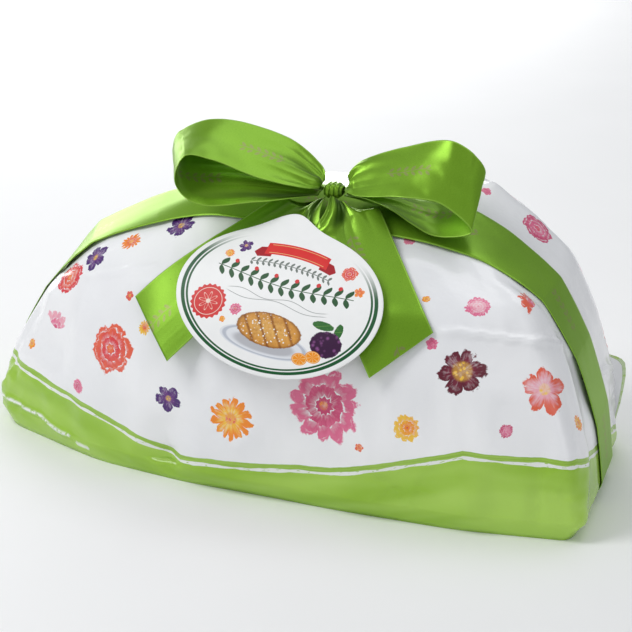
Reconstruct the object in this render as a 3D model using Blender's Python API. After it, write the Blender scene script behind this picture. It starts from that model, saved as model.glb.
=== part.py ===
"""A gift-wrapped festive loaf: a film wrap, a ribbon round it, a bow and a hanging card tag.

Sizes are in millimetres and become metres where the meshes are made. X runs along the pack,
-Y is the front and Z is up. The pack is shut, so it is solid up to its wrap.
"""
import math

import bmesh
import bpy
from mathutils import Vector
from mathutils.bvhtree import BVHTree

MM = 0.001
UP = Vector((0.0, 0.0, 1.0))

# The wrap: folds of film that rise from the foot to the rim of the domed top
WRAP_BASE_INSET = 6.0
WRAP_TOP_RISE = 3.0
WRAP_CORNER_ROUNDING = 0.2
WRAP_STEPS_AROUND = 7
WRAP_STEPS_UP = 3
WRAP_CAP_RINGS = 4

# Each level: height, inward pull of a steep fold, inward pull of a sloping fold, share of the lift
WRAP_LEVELS = (
    (9.0, 0.00, 0.00, 0.0),
    (44.0, 0.01, 0.04, 0.0),
    (81.0, 0.04, 0.17, 0.2),
    (111.0, 0.17, 0.36, 0.5),
    (131.0, 0.50, 0.68, 0.9),
    (147.0, 1.00, 1.00, 1.0),
)

# Each fold: foot x, foot y, slope from 0 (steep) to 1 (sloping), rim x, rim y, lift
WRAP_FOLDS = {
    "left_tip": (-201, -32, 1.40, -64, 4, 4),
    "front_left": (-122, -70, 0.75, -45, -2, 2),
    "front_mid_left": (-60, -83, 0.25, -22, -2, 0),
    "front_mid": (36, -90, 0.15, 12, -2, 0),
    "front_right": (112, -90, 0.50, 44, 4, 2),
    "right_front": (176, -81, 1.10, 66, 12, 3),
    "right_rear": (163, 66, 1.10, 86, 50, 9),
    "rear_right": (100, 94, -0.80, 72, 68, 7),
    "rear_mid": (0, 96, -0.50, 0, 68, 1),
    "rear_left": (-98, 88, 0.20, -50, 48, 2),
    "left_rear": (-197, 44, 0.65, -64, 24, 5),
}

# The ribbon
RIBBON_WIDTH = 40.0
RIBBON_THICKNESS = 0.6
RIBBON_ROWS = 9
RIBBON_STATIONS = 100
RIBBON_GAP = 1.4
RIBBON_TURN_STEP = math.radians(6)
RIBBON_RUN_STEP = 40.0
RIBBON_HUB_HEIGHT = 70.0
RIBBON_SHIFT = 2.5
RIBBON_SKEW = 5.5
CHANNEL_DEPTH = 2.3
CHANNEL_MARGIN = 1.5
BEYOND = 500.0

# The knot and the bow
KNOT_SIZE = (11.0, 12.0, 9.0)
KNOT_CENTRE = (7.5, -5.5, 159.5)
KNOT_PLEATS = 5
KNOT_PLEAT_SHARE = 0.05
GATHERED_WIDTH = 11.0
PLEAT_HEIGHT = 0.6
LOOP_STATIONS = 40
LOOP_ROWS = 7
LOOP_CLEARANCE = 1.6
# Each loop: the far and the near edge of its ribbon at each station, from the knot and back to it
LOOPS = {
    "bow_loop_left": (
        ((0, 0, 163), (0, -11, 161)),
        ((-6, 7, 170), (-6, -20, 164)),
        ((-27, 8, 184), (-26, -29, 169)),
        ((-61, -2, 194), (-53, -39, 180)),
        ((-84, -11, 187), (-66, -48, 183)),
        ((-86, -17, 174), (-69, -54, 169)),
        ((-71, -16, 172), (-56, -51, 157)),
        ((-43, -5, 165), (-28, -40, 158)),
        ((0, -2, 159), (0, -13, 157.5)),
    ),
    "bow_loop_right": (
        ((15, 1, 163), (15, -10, 161)),
        ((17, 10, 172), (26, -14, 160)),
        ((42, 14, 183), (52, -20, 164)),
        ((73, 9, 190), (74, -19, 162)),
        ((92, 8, 174), (93, -22, 149)),
        ((69, 12, 158), (71, -23, 145)),
        ((37, 15, 157), (42, -20, 156)),
        ((15, 1, 159), (15, -10, 157.5)),
    ),
}

# The tails: where each end is cut, across its two corners, in the plane of the front slope
TAIL_STATIONS = 28
TAIL_CLEARANCE = 2.2
TAIL_ROWS = 9
TAIL_START = 0.14
TAIL_SPREAD = 4.5
TAIL_TURN_SHARE = 0.15
TAIL_SINK = 4.0
TAIL_KNOT_GAP = 2.0
TAIL_SIDE_STEP = 3.8
TAILS = {
    "bow_tail_left": ((-103.0, -78.0), (-73.0, -114.0)),
    "bow_tail_right": ((46.0, -113.0), (76.0, -84.0)),
}

# The tag: a card oval with a rounded bump on top, hung in front of the tails
TAG_HALF_WIDTH = 61.0
TAG_HALF_HEIGHT = 44.5
TAG_BUMP_HEIGHT = 10.0
TAG_BUMP_SPREAD = 0.24
TAG_THICKNESS = 0.7
TAG_TURN = math.radians(-9.0)
TAG_CENTRE = (-4.0, -70.0, 118.0)
TAG_LEAN = math.radians(43.0)
TAG_BEND = 180.0


def make_material(name, colour, roughness, metallic=0.0):
    """Return a Principled material of one colour."""
    material = bpy.data.materials.new(name)
    material.use_nodes = True
    shader = material.node_tree.nodes["Principled BSDF"]
    shader.inputs["Base Color"].default_value = (*colour, 1.0)
    shader.inputs["Roughness"].default_value = roughness
    shader.inputs["Metallic"].default_value = metallic
    return material


def make_object(name, points, faces, material):
    """Make one closed mesh object from points in millimetres."""
    mesh = bpy.data.meshes.new(name)
    mesh.from_pydata([Vector(point) * MM for point in points], [], faces)
    body = bmesh.new()
    body.from_mesh(mesh)
    bmesh.ops.recalc_face_normals(body, faces=body.faces)
    body.to_mesh(mesh)
    body.free()
    mesh.shade_smooth()
    mesh.set_sharp_from_angle(angle=math.radians(40))
    mesh.materials.append(material)
    item = bpy.data.objects.new(name, mesh)
    bpy.context.collection.objects.link(item)
    return item


def rounded_path(corners, position, closed, rounding=WRAP_CORNER_ROUNDING):
    """Return the point at a position along straight runs whose corners are rounded."""
    count = len(corners)
    index = int(math.floor(position + 0.5))
    offset = position - index

    def corner(i):
        return corners[i % count] if closed else corners[min(max(i, 0), count - 1)]

    here = corner(index)
    if abs(offset) >= rounding:
        neighbour = corner(index + (1 if offset > 0 else -1))
        return here.lerp(neighbour, abs(offset))
    before = here.lerp(corner(index - 1), rounding)
    after = here.lerp(corner(index + 1), rounding)
    t = (offset + rounding) / (2 * rounding)
    return before * (1 - t) ** 2 + here * (2 * t * (1 - t)) + after * t ** 2


def fold_points(fold):
    """Return one fold's points, from its foot to the rim of the top."""
    foot_x, foot_y, slope, rim_x, rim_y, lift = fold
    foot = Vector((foot_x, foot_y, 0.0))
    rim = Vector((rim_x, rim_y, 0.0))
    points = []
    for height, steep, sloping, share in WRAP_LEVELS:
        place = foot.lerp(rim, steep + (sloping - steep) * slope)
        points.append(Vector((place.x, place.y, height + lift * share)))
    return points


def wrap_rings():
    """Return the wrap's rings of points, from the floor to the middle of the top."""
    folds = [fold_points(fold) for fold in WRAP_FOLDS.values()]
    around = len(folds) * WRAP_STEPS_AROUND
    rings = []
    for step in range((len(WRAP_LEVELS) - 1) * WRAP_STEPS_UP + 1):
        level = step / WRAP_STEPS_UP
        knots = [rounded_path(points, level, closed=False) for points in folds]
        ring = [rounded_path(knots, i / WRAP_STEPS_AROUND, closed=True) for i in range(around)]
        rings.append(ring)

    floor_ring = []
    for point in rings[0]:
        inward = Vector((point.x, point.y, 0.0)).normalized() * WRAP_BASE_INSET
        floor_ring.append(Vector((point.x - inward.x, point.y - inward.y, 0.0)))
    rings.insert(0, floor_ring)

    rim = rings[-1]
    middle = sum(rim, Vector()) / len(rim)
    for step in range(1, WRAP_CAP_RINGS):
        share = step / WRAP_CAP_RINGS
        rise = Vector((0.0, 0.0, WRAP_TOP_RISE * math.sin(share * math.pi / 2)))
        rings.append([point.lerp(middle, share) + rise for point in rim])
    return rings, middle + Vector((0.0, 0.0, WRAP_TOP_RISE))


def make_wrap(material):
    """Make the solid wrapped pack with the shallow channel for the ribbon under it."""
    rings, summit = wrap_rings()
    count = len(rings[0])
    points = [point for ring in rings for point in ring]
    faces = [list(range(count))]
    for level in range(len(rings) - 1):
        for i in range(count):
            j = (i + 1) % count
            low = level * count
            high = low + count
            faces.append([low + i, low + j, high + j, high + i])
    last = (len(rings) - 1) * count
    points.append(summit)
    for i in range(count):
        faces.append([last + i, last + (i + 1) % count, len(points) - 1])
    wrap = make_object("wrap", points, faces, material)

    bpy.ops.mesh.primitive_cube_add(size=1.0, location=(0.0, RIBBON_SHIFT * MM, 0.0))
    cutter = bpy.context.active_object
    cutter.name = "ribbon_channel"
    width = RIBBON_WIDTH + 2 * (RIBBON_SKEW + CHANNEL_MARGIN)
    cutter.scale = Vector((BEYOND, width, 2 * CHANNEL_DEPTH)) * MM
    cut = wrap.modifiers.new("ribbon_channel", "BOOLEAN")
    cut.operation = "DIFFERENCE"
    cut.solver = "EXACT"
    cut.object = cutter
    bpy.context.view_layer.update()
    graph = bpy.context.evaluated_depsgraph_get()
    mesh = bpy.data.meshes.new_from_object(wrap.evaluated_get(graph))
    wrap.modifiers.clear()
    wrap.data = mesh
    bpy.data.objects.remove(cutter)
    return wrap


def surface_tree(*items):
    """Return a search tree of the objects' surfaces, in millimetres."""
    points, faces = [], []
    for item in items:
        first = len(points)
        points += [vertex.co / MM for vertex in item.data.vertices]
        faces += [[first + i for i in face.vertices] for face in item.data.polygons]
    return BVHTree.FromPolygons(points, faces)


def make_shell(name, outer, inner, closed, material):
    """Make a thin solid between two grids of points; a closed one joins its last row to its first."""
    rows = len(outer)
    columns = len(outer[0])
    points = [point for grid in (outer, inner) for row in grid for point in row]
    under = rows * columns
    faces = []

    def at(row, column, base=0):
        return base + (row % rows) * columns + column

    for row in range(rows if closed else rows - 1):
        for column in range(columns - 1):
            quad = ((row, column), (row, column + 1), (row + 1, column + 1), (row + 1, column))
            faces.append([at(r, c) for r, c in quad])
            faces.append([at(r, c, under) for r, c in reversed(quad)])
        for column in (0, columns - 1):
            edge = [at(row, column), at(row + 1, column)]
            edge += [at(row + 1, column, under), at(row, column, under)]
            faces.append(edge if column == 0 else edge[::-1])
    if not closed:
        for row in (0, rows - 1):
            for column in range(columns - 1):
                edge = [at(row, column), at(row, column + 1)]
                edge += [at(row, column + 1, under), at(row, column, under)]
                faces.append(edge[::-1] if row == 0 else edge)
    return make_object(name, points, faces, material)


def convex_outline(points):
    """Return the convex outline of flat points, counter-clockwise."""
    points = sorted(points)

    def half(run):
        chain = []
        for p in run:
            while len(chain) > 1:
                a, b = chain[-2], chain[-1]
                if (b[0] - a[0]) * (p[1] - a[1]) - (b[1] - a[1]) * (p[0] - a[0]) > 0:
                    break
                chain.pop()
            chain.append(p)
        return chain[:-1]

    return half(points) + half(points[::-1])


def ribbon_shift(angle):
    """Return how far back the ribbon lies: not at all at the top, more at the left than the right."""
    below = 1 - max(0.0, math.sin(angle)) ** 2
    return (RIBBON_SHIFT - RIBBON_SKEW * math.cos(angle)) * below


def taut_outline(tree, y):
    """Return the outline of a thread pulled taut round the pack, at one place across the ribbon."""
    samples = []
    for half_degree in range(720):
        angle = math.radians(half_degree / 2)
        direction = Vector((math.cos(angle), 0.0, math.sin(angle)))
        hub = Vector((0.0, y + ribbon_shift(angle), RIBBON_HUB_HEIGHT))
        hit = tree.ray_cast(hub + direction * BEYOND, -direction)[0]
        samples.append((hit.x, hit.z))
    return convex_outline(samples)


def station_angles(outline):
    """Return the hub angles of the stations, closest together where the outline turns most."""
    count = len(outline)
    marks = [0.0]
    for i in range(count):
        before, here, after = outline[i - 1], outline[i], outline[(i + 1) % count]
        inward = math.atan2(here[1] - before[1], here[0] - before[0])
        outward = math.atan2(after[1] - here[1], after[0] - here[0])
        turn = (outward - inward) % (2 * math.pi)
        run = math.dist(here, after)
        marks.append(marks[-1] + turn / RIBBON_TURN_STEP + run / RIBBON_RUN_STEP)
    angles = []
    for station in range(RIBBON_STATIONS):
        mark = marks[-1] * station / RIBBON_STATIONS
        i = max(k for k in range(count) if marks[k] <= mark)
        share = (mark - marks[i]) / (marks[i + 1] - marks[i])
        here, after = outline[i], outline[(i + 1) % count]
        x = here[0] + (after[0] - here[0]) * share
        z = here[1] + (after[1] - here[1]) * share
        angles.append(math.atan2(z - RIBBON_HUB_HEIGHT, x))
    return angles


def point_on_outline(outline, angle, y):
    """Return the outline's point and outward normal at one hub angle."""
    y += ribbon_shift(angle)
    dx, dz = math.cos(angle), math.sin(angle)
    for (x0, z0), (x1, z1) in zip(outline, outline[1:] + outline[:1]):
        ex, ez = x1 - x0, z1 - z0
        cross = dx * ez - dz * ex
        if abs(cross) < 1e-9:
            continue
        reach = (x0 * ez - (z0 - RIBBON_HUB_HEIGHT) * ex) / cross
        share = (x0 * dz - (z0 - RIBBON_HUB_HEIGHT) * dx) / cross
        if reach > 0 and -1e-9 <= share <= 1 + 1e-9:
            normal = Vector((ez, 0.0, -ex)).normalized()
            return Vector((dx * reach, y, RIBBON_HUB_HEIGHT + dz * reach)), normal
    raise ValueError("the hub lies outside the outline")


def make_ribbon_band(tree, material):
    """Make the ribbon that runs lengthwise round the pack, pulled taut over its hollows."""
    edges = [RIBBON_WIDTH * (row / (RIBBON_ROWS - 1) - 0.5) for row in range(RIBBON_ROWS)]
    outlines = [taut_outline(tree, y) for y in edges]
    outer, inner = [], []
    for angle in station_angles(outlines[RIBBON_ROWS // 2]):
        places = [point_on_outline(outline, angle, y) for outline, y in zip(outlines, edges)]
        inner.append([place + normal * RIBBON_GAP for place, normal in places])
        outer.append([place + normal * (RIBBON_GAP + RIBBON_THICKNESS) for place, normal in places])
    return make_shell("ribbon_band", outer, inner, True, material)


def make_knot(material):
    """Make the gathered knot, a rounded block with shallow pleats."""
    segments, stacks = 20, 10
    points = []
    half = [size / 2 for size in KNOT_SIZE]
    for stack in range(1, stacks):
        polar = math.pi * stack / stacks
        for segment in range(segments):
            turn = 2 * math.pi * segment / segments
            pleat = 1 + KNOT_PLEAT_SHARE * math.cos(KNOT_PLEATS * turn)
            x = half[0] * math.cos(polar)
            y = half[1] * math.sin(polar) ** 0.6 * math.cos(turn) * pleat
            z = half[2] * math.sin(polar) ** 0.6 * math.sin(turn) * pleat
            points.append(Vector((x, y, z)) + Vector(KNOT_CENTRE))
    points.append(Vector(KNOT_CENTRE) + Vector((half[0], 0.0, 0.0)))
    points.append(Vector(KNOT_CENTRE) - Vector((half[0], 0.0, 0.0)))
    first, last = len(points) - 2, len(points) - 1
    faces = []
    for stack in range(stacks - 2):
        for i in range(segments):
            j = (i + 1) % segments
            low, high = stack * segments, (stack + 1) * segments
            faces.append([low + i, low + j, high + j, high + i])
    for i in range(segments):
        j = (i + 1) % segments
        faces.append([first, j, i])
        faces.append([last, (stacks - 2) * segments + i, (stacks - 2) * segments + j])
    return make_object("bow_knot", points, faces, material)


def smooth_path(points, share):
    """Return the point at a share of the way along a smooth curve through the points."""
    position = share * (len(points) - 1)
    index = min(int(position), len(points) - 2)
    u = position - index
    last = len(points) - 1
    before, first, second, after = [points[min(max(index + k, 0), last)] for k in (-1, 0, 1, 2)]
    straight = (second - before) * u
    bent = (before * 2 - first * 5 + second * 4 - after) * u ** 2
    turned = (first * 3 - before - second * 3 + after) * u ** 3
    return (first * 2 + straight + bent + turned) / 2


def lift_clear(point, tree):
    """Lift a point that would sink into what lies under it."""
    top = tree.ray_cast(point + UP * BEYOND, -UP)[0]
    if top is None:
        return point
    return Vector((point.x, point.y, max(point.z, top.z + LOOP_CLEARANCE)))


def make_loop(name, tree, material):
    """Make one loop of the bow: a ribbon that opens from the knot and returns to it."""
    far = [Vector(station[0]) for station in LOOPS[name]]
    near = [Vector(station[1]) for station in LOOPS[name]]
    step = 1 / LOOP_STATIONS

    def middle(share):
        share = min(max(share, 0.0), 1.0)
        return smooth_path(far, share).lerp(smooth_path(near, share), 0.5)

    outer, inner = [], []
    for station in range(LOOP_STATIONS + 1):
        share = station * step
        start, end = smooth_path(near, share), smooth_path(far, share)
        tangent = middle(share + step) - middle(share - step)
        outward = tangent.cross(end - start).normalized()
        width = (end - start).length
        gathered = max(0.0, (RIBBON_WIDTH - width) / (RIBBON_WIDTH - GATHERED_WIDTH))
        outer_row, inner_row = [], []
        for row in range(LOOP_ROWS):
            v = row / (LOOP_ROWS - 1)
            pleat = PLEAT_HEIGHT * gathered * math.cos(4 * math.pi * v)
            place = lift_clear(start.lerp(end, v), tree)
            outer_row.append(place + outward * (pleat + RIBBON_THICKNESS / 2))
            inner_row.append(place + outward * (pleat - RIBBON_THICKNESS / 2))
        outer.append(outer_row)
        inner.append(inner_row)
    return make_shell(name, outer, inner, False, material)


def slope_frame():
    """Return the directions down the front slope and out of it."""
    outward = Vector((0.0, -math.cos(TAG_LEAN), math.sin(TAG_LEAN)))
    down = Vector((0.0, -math.sin(TAG_LEAN), -math.cos(TAG_LEAN)))
    return down, outward


def make_tail(name, tree, material):
    """Make one tail of the bow, pleated at the knot and laid over the front of the pack."""
    down, outward = slope_frame()
    first, second = TAILS[name]
    side = 1 if first[0] > 0 else -1
    knot = Vector(KNOT_CENTRE) - outward * TAIL_SINK
    start = knot + down * (KNOT_SIZE[1] / 2 + TAIL_KNOT_GAP)
    start.x += TAIL_SIDE_STEP * side
    ends = [knot + Vector((x, 0.0, 0.0)) - down * y for x, y in (first, second)]
    middle = ends[0].lerp(ends[1], 0.5)
    half = (ends[1] - ends[0]) / 2
    outer, inner = [], []
    for station in range(TAIL_STATIONS + 1):
        t = station / TAIL_STATIONS
        opened = min(1.0, TAIL_START + t * TAIL_SPREAD)
        outer_row, inner_row = [], []
        for row in range(TAIL_ROWS):
            v = 2 * row / (TAIL_ROWS - 1) - 1
            turn = min(1.0, t / TAIL_TURN_SHARE)
            across = Vector((half.length, 0.0, 0.0)).lerp(half, turn)
            place = start.lerp(middle, t) + across * (v * opened)
            hit = tree.ray_cast(place + outward * BEYOND, -outward)[0]
            pleat = PLEAT_HEIGHT * (1 - opened) * (1 + math.cos(2 * math.pi * v))
            base = hit + outward * (TAIL_CLEARANCE + pleat)
            inner_row.append(base)
            outer_row.append(base + outward * RIBBON_THICKNESS)
        outer.append(outer_row)
        inner.append(inner_row)
    return make_shell(name, outer, inner, False, material)


def tag_point(u, v, height):
    """Return the tag's point u across and v up it, bent gently over the shoulder of the pack."""
    down, outward = slope_frame()
    turned_u = u * math.cos(TAG_TURN) - v * math.sin(TAG_TURN)
    turned_v = u * math.sin(TAG_TURN) + v * math.cos(TAG_TURN)
    sag = -(turned_v ** 2) / (2 * TAG_BEND)
    centre = Vector(TAG_CENTRE)
    return centre + Vector((turned_u, 0.0, 0.0)) - down * turned_v + outward * (sag + height)


def tag_outline(angle):
    """Return the tag's edge at one angle, an oval with a bump on its top."""
    u = TAG_HALF_WIDTH * math.cos(angle)
    v = TAG_HALF_HEIGHT * math.sin(angle)
    bump = TAG_BUMP_HEIGHT * math.exp(-((angle - math.pi / 2) / TAG_BUMP_SPREAD) ** 2)
    return u, v + bump


def make_tag(material):
    """Make the card tag as rings from its middle to its edge."""
    segments, rings = 48, 4
    points = []
    for height in (TAG_THICKNESS / 2, -TAG_THICKNESS / 2):
        points.append(tag_point(0.0, 0.0, height))
        for ring in range(1, rings + 1):
            share = ring / rings
            for i in range(segments):
                u, v = tag_outline(2 * math.pi * i / segments)
                points.append(tag_point(u * share, v * share, height))
    side = 1 + rings * segments
    faces = []
    for base in (0, side):
        for i in range(segments):
            j = (i + 1) % segments
            faces.append([base, base + 1 + i, base + 1 + j])
            for ring in range(rings - 1):
                low = base + 1 + ring * segments
                high = low + segments
                faces.append([low + i, high + i, high + j, low + j])
    edge = 1 + (rings - 1) * segments
    for i in range(segments):
        j = (i + 1) % segments
        faces.append([edge + i, side + edge + i, side + edge + j, edge + j])
    return make_object("tag", points, faces, material)


def centre_on_floor(items):
    """Move the whole pack so that its box is centred over the origin."""
    corners = [vertex.co for item in items for vertex in item.data.vertices]
    shift_x = -(min(c.x for c in corners) + max(c.x for c in corners)) / 2
    shift_y = -(min(c.y for c in corners) + max(c.y for c in corners)) / 2
    for item in items:
        for vertex in item.data.vertices:
            vertex.co.x += shift_x
            vertex.co.y += shift_y


def main():
    for item in list(bpy.data.objects):
        bpy.data.objects.remove(item)

    film = make_material("white_film", (0.86, 0.87, 0.88), 0.25)
    satin = make_material("green_satin", (0.16, 0.42, 0.03), 0.4)
    card = make_material("printed_card", (0.95, 0.95, 0.93), 0.45)

    wrap = make_wrap(film)
    band = make_ribbon_band(surface_tree(wrap), satin)
    items = [wrap, band, make_knot(satin), make_tag(card)]
    ground = surface_tree(wrap, band)
    items += [make_tail(name, ground, satin) for name in TAILS]
    items += [make_loop(name, surface_tree(wrap, band, *items[4:]), satin) for name in LOOPS]
    centre_on_floor(items)


main()
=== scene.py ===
import math
import random

import bpy
import numpy as np
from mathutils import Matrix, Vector, noise
from mathutils.bvhtree import BVHTree


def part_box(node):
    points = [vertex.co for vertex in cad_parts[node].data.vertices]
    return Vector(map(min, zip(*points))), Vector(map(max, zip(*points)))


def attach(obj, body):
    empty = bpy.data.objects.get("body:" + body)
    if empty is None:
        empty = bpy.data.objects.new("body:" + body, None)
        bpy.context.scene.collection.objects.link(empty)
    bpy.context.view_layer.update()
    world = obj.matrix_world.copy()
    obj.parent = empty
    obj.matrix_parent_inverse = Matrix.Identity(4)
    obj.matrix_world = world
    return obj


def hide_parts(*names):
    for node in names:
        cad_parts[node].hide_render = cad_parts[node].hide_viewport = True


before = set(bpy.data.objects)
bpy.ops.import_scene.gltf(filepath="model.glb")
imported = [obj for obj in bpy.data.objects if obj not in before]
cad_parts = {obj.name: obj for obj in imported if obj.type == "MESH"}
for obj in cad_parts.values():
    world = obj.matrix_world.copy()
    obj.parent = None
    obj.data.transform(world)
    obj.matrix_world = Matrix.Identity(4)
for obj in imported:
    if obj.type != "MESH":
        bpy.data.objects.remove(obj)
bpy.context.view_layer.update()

MM = 0.001
UP = Vector((0.0, 0.0, 1.0))
# A distance past everything, from which rays are sent back to the pack
BEYOND = 500.0

# The knot's size and place in the plan; the frame's own knot gives the shift of the whole plan
KNOT_SIZE = (11.0, 12.0, 9.0)
KNOT_CENTRE = Vector((7.5, -5.5, 159.5))
KNOT_LOW, KNOT_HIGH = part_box("bow_knot")
SHIFT = (KNOT_LOW + KNOT_HIGH) / 2 - KNOT_CENTRE * MM

# The wrap
WRAP_BASE_INSET = 6.0
WRAP_TOP_RISE = 3.0
WRAP_CORNER_ROUNDING = 0.2
WRAP_SHARP_FOLDS = {0: 0.2, 5: 0.12}
WRAP_STEPS_AROUND = 34
WRAP_STEPS_UP = 22
WRAP_CAP_RINGS = 16
WRAP_BASE_RINGS = 14
WRAP_ROUNDING_LEVELS = (0.0, 0.25, 0.6)
# Rings that only fill the base, and the ring of the foot
PLAIN_RINGS = WRAP_BASE_RINGS - 1
FOOT_RING = PLAIN_RINGS + len(WRAP_ROUNDING_LEVELS)
CHANNEL_DEPTH = 2.4
CHANNEL_CENTRE = 2.5
CHANNEL_HALF_WIDTH = 27.5
CHANNEL_SIDE = 1.5
CHANNEL_HEIGHTS = (3.0, 9.0)

# Each level: height, inward pull of a steep fold, inward pull of a sloping fold, share of the lift
WRAP_LEVELS = (
    (9.0, 0.00, 0.00, 0.0),
    (44.0, 0.01, 0.04, 0.0),
    (81.0, 0.04, 0.17, 0.2),
    (111.0, 0.17, 0.36, 0.5),
    (131.0, 0.50, 0.68, 0.9),
    (147.0, 1.00, 1.00, 1.0),
)

# Each fold: foot x, foot y, slope, rim x, rim y, lift, and how high the green border reaches there
WRAP_FOLDS = (
    (-201, -32, 1.40, -64, 4, 4, 45),
    (-122, -70, 0.75, -45, -2, 2, 34),
    (-60, -83, 0.25, -22, -2, 0, 18),
    (36, -90, 0.15, 12, -2, 0, 27),
    (112, -90, 0.50, 44, 4, 2, 47),
    (176, -81, 1.10, 66, 12, 3, 46),
    (163, 66, 1.10, 86, 50, 9, 15),
    (100, 94, -0.80, 72, 68, 7, 32),
    (0, 96, -0.50, 0, 68, 1, 30),
    (-98, 88, 0.20, -50, 48, 2, 26),
    (-197, 44, 0.65, -64, 24, 5, 42),
)

# Creases: the step of their points, the half width from which they are round, how far each side of
# their line the print is whitened as wear and painted highlight, and the height above the floor
# from which they have full depth
SNAP_STEP = 5.0
SHARP_CREASE = 4.5
WEAR_HIGHLIGHT_WIDTH = 3.4
CALM_HEIGHT = 12.0

# Where ribbons press on the film: how far they are looked for, the gap up to which the film is
# pressed flat and from which it is free, and how far pressed film may still stand out
PRESS_SEARCH = 16.0
PRESS_REACH = (3.0, 14.0)
PRESSED_RISE = 0.5

# Each crease: its points, how far it stands out, its half width, how much it whitens the film as
# wear and painted highlight
CREASES = (
    (((80, -70, 108), (111, -63, 105), (136, -54, 101), (153, -20, 88)), 2.2, 3.6, 0.3),
    (((-163, -12, 88), (-140, -30, 98), (-118, -40, 105), (-88, -46, 117)), 0.8, 3.4, 0.05),
    (((-69, -81, 14), (-61, -81, 39), (-55, -80, 60), (-62, -75, 84)), -3.4, 14.0, 0.0),
    (((-66, -81, 2), (-67, -81, 17)), -2.4, 5.0, 0.0),
    (((-199, -33, 18), (-160, -52, 15), (-124, -69, 5)), 1.2, 2.4, 0.62),
    (((-186, -36, 40), (-196, -33, 30), (-201, -32, 20)), 1.2, 2.4, 0.3),
    (((-188, -36, 80), (-188, -38, 62), (-192, -38, 48)), -3.0, 12.0, 0.0),
    (((-199, -33, 24), (-180, -40, 34), (-156, -52, 30)), 1.1, 5.0, 0.1),
    (((-150, -56, 60), (-140, -60, 30), (-132, -64, 6)), -1.5, 9.0, 0.0),
    (((60, -88, 92), (104, -82, 60), (128, -84, 20)), -1.3, 12.0, 0.0),
    (((-96, -68, 70), (-84, -74, 40), (-90, -76, 10)), 1.2, 9.0, 0.0),
    (((-176, -38, 47), (-166, -36, 64), (-160, -28, 82)), 1.6, 7.0, 0.0),
    (((-145, -56, 39), (-136, -54, 62), (-130, -44, 90)), 1.9, 10.0, 0.0),
    (((150, -36, 100), (160, -44, 68), (172, -60, 40), (176, -78, 10)), 1.8, 6.0, 0.1),
    (((92, -18, 134), (125, -34, 117), (150, -14, 92)), 1.8, 7.0, 0.0),
    (((84, -90, 8), (69, -90, 24), (48, -90, 30)), -0.7, 3.0, 0.1),
    (((84, -90, 8), (82, -90, 24), (92, -88, 40)), 0.5, 2.0, 0.15),
    (((60, -90, 12), (69, -90, 24), (96, -90, 20)), 0.45, 1.8, 0.1),
    (((112, -90, 6), (116, -88, 40), (122, -78, 78)), 1.0, 9.0, 0.0),
    (((34, -90, 30), (26, -86, 70), (20, -74, 100)), -1.2, 14.0, 0.0),
    (((-12, -87, 24), (-16, -85, 50), (-14, -80, 76)), 1.0, 10.0, 0.0),
    (((150, -84, 8), (152, -82, 46)), -0.9, 5.0, 0.0),
    (((168, 30, 60), (158, 56, 50), (140, 80, 44)), 1.4, 4.0, 0.4),
    (((60, 90, 100), (80, 92, 60), (96, 94, 20)), 1.3, 7.0, 0.1),
    (((-20, 88, 100), (-6, 92, 60), (0, 96, 20)), -1.6, 12.0, 0.0),
    (((-60, 80, 104), (-90, 86, 60), (-98, 88, 14)), 1.4, 9.0, 0.1),
    (((-150, 40, 88), (-120, 60, 96), (-84, 66, 110)), 1.3, 3.6, 0.4),
    (((20, 84, 116), (52, 88, 96), (88, 84, 100)), 1.2, 3.4, 0.4),
    (((-186, 30, 40), (-160, 56, 30), (-128, 74, 34)), 1.0, 6.0, 0.1),
)

# Soft swells all over the film: scale, offset in the noise, how upright they are, height
WRAP_SWELLS = ((46.0, 0.0, 0.6, 2.1), (21.0, 5.0, 1.0, 0.7))
RIPPLE_SCALE = 17.0
RIPPLE_HEIGHT = 0.9

# Crumpled film: the scales of its two noises, its height, and the sharpness from which, and how
# much, its ridges whiten the print as wear and painted highlight
CRUMPLE_SCALES = (8.0, 3.6)
CRUMPLE_HEIGHT = 2.2
CRUMPLE_WEAR_HIGHLIGHT_SHARPNESS = (0.26, 0.34)
CRUMPLE_WEAR_HIGHLIGHT_AMOUNT = 0.8

# Places where the film is crumpled small: centre, radius, depth
CRUMPLES = (
    ((-198, -32, 30), 34.0, 0.8),
    ((-196, 40, 26), 34.0, 1.3),
    ((176, -78, 20), 30.0, 0.5),
    ((163, 66, 40), 30.0, 1.5),
    ((104, 94, 30), 30.0, 1.1),
    ((-98, 88, 20), 34.0, 0.9),
)

# The loose film at the rear right corner: its hidden and its free edge
FLAP_STEPS = 14
FLAP_INNER = ((140, 58, 52), (146, 56, 36), (150, 50, 20), (156, 40, 8))
FLAP_OUTER = ((150, 62, 56), (164, 61, 52), (165, 56, 33), (162, 38, 12))
# Its waves: height, scale
FLAP_WAVES = ((1.6, 9.0), (0.8, 3.5))
# Its print: depth in the border on the rim and inside it, whitening of the rim as wear and painted
# highlight, columns of the rim
FLAP_BORDER = (6.0, -9.0)
FLAP_RIM_WEAR_HIGHLIGHT = 0.45
FLAP_RIM_COLUMNS = 2
# How far below the border's top the middles of the base and of the top count as
BORDER_AT_MIDDLES = (60.0, -100.0)

# The ribbon
RIBBON_WIDTH = 40.0
RIBBON_THICKNESS = 0.35
RIBBON_ROWS = 25
RIBBON_STATIONS = 260
RIBBON_RAYS = 720
RIBBON_LIFT = 1.7
RIBBON_TURN_STEP = math.radians(6)
RIBBON_RUN_STEP = 40.0
RIBBON_HUB_HEIGHT = 70.0
RIBBON_SHIFT = 2.5
RIBBON_SKEW = 5.5
RIBBON_WAVES = ((0.35, 30.0), (0.12, 9.0))
RIBBON_FLAT_BELOW = 6.0
# The darkest painted shade that a fold may be given
DARKEST_PAINTED_SHADE = 0.85
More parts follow.
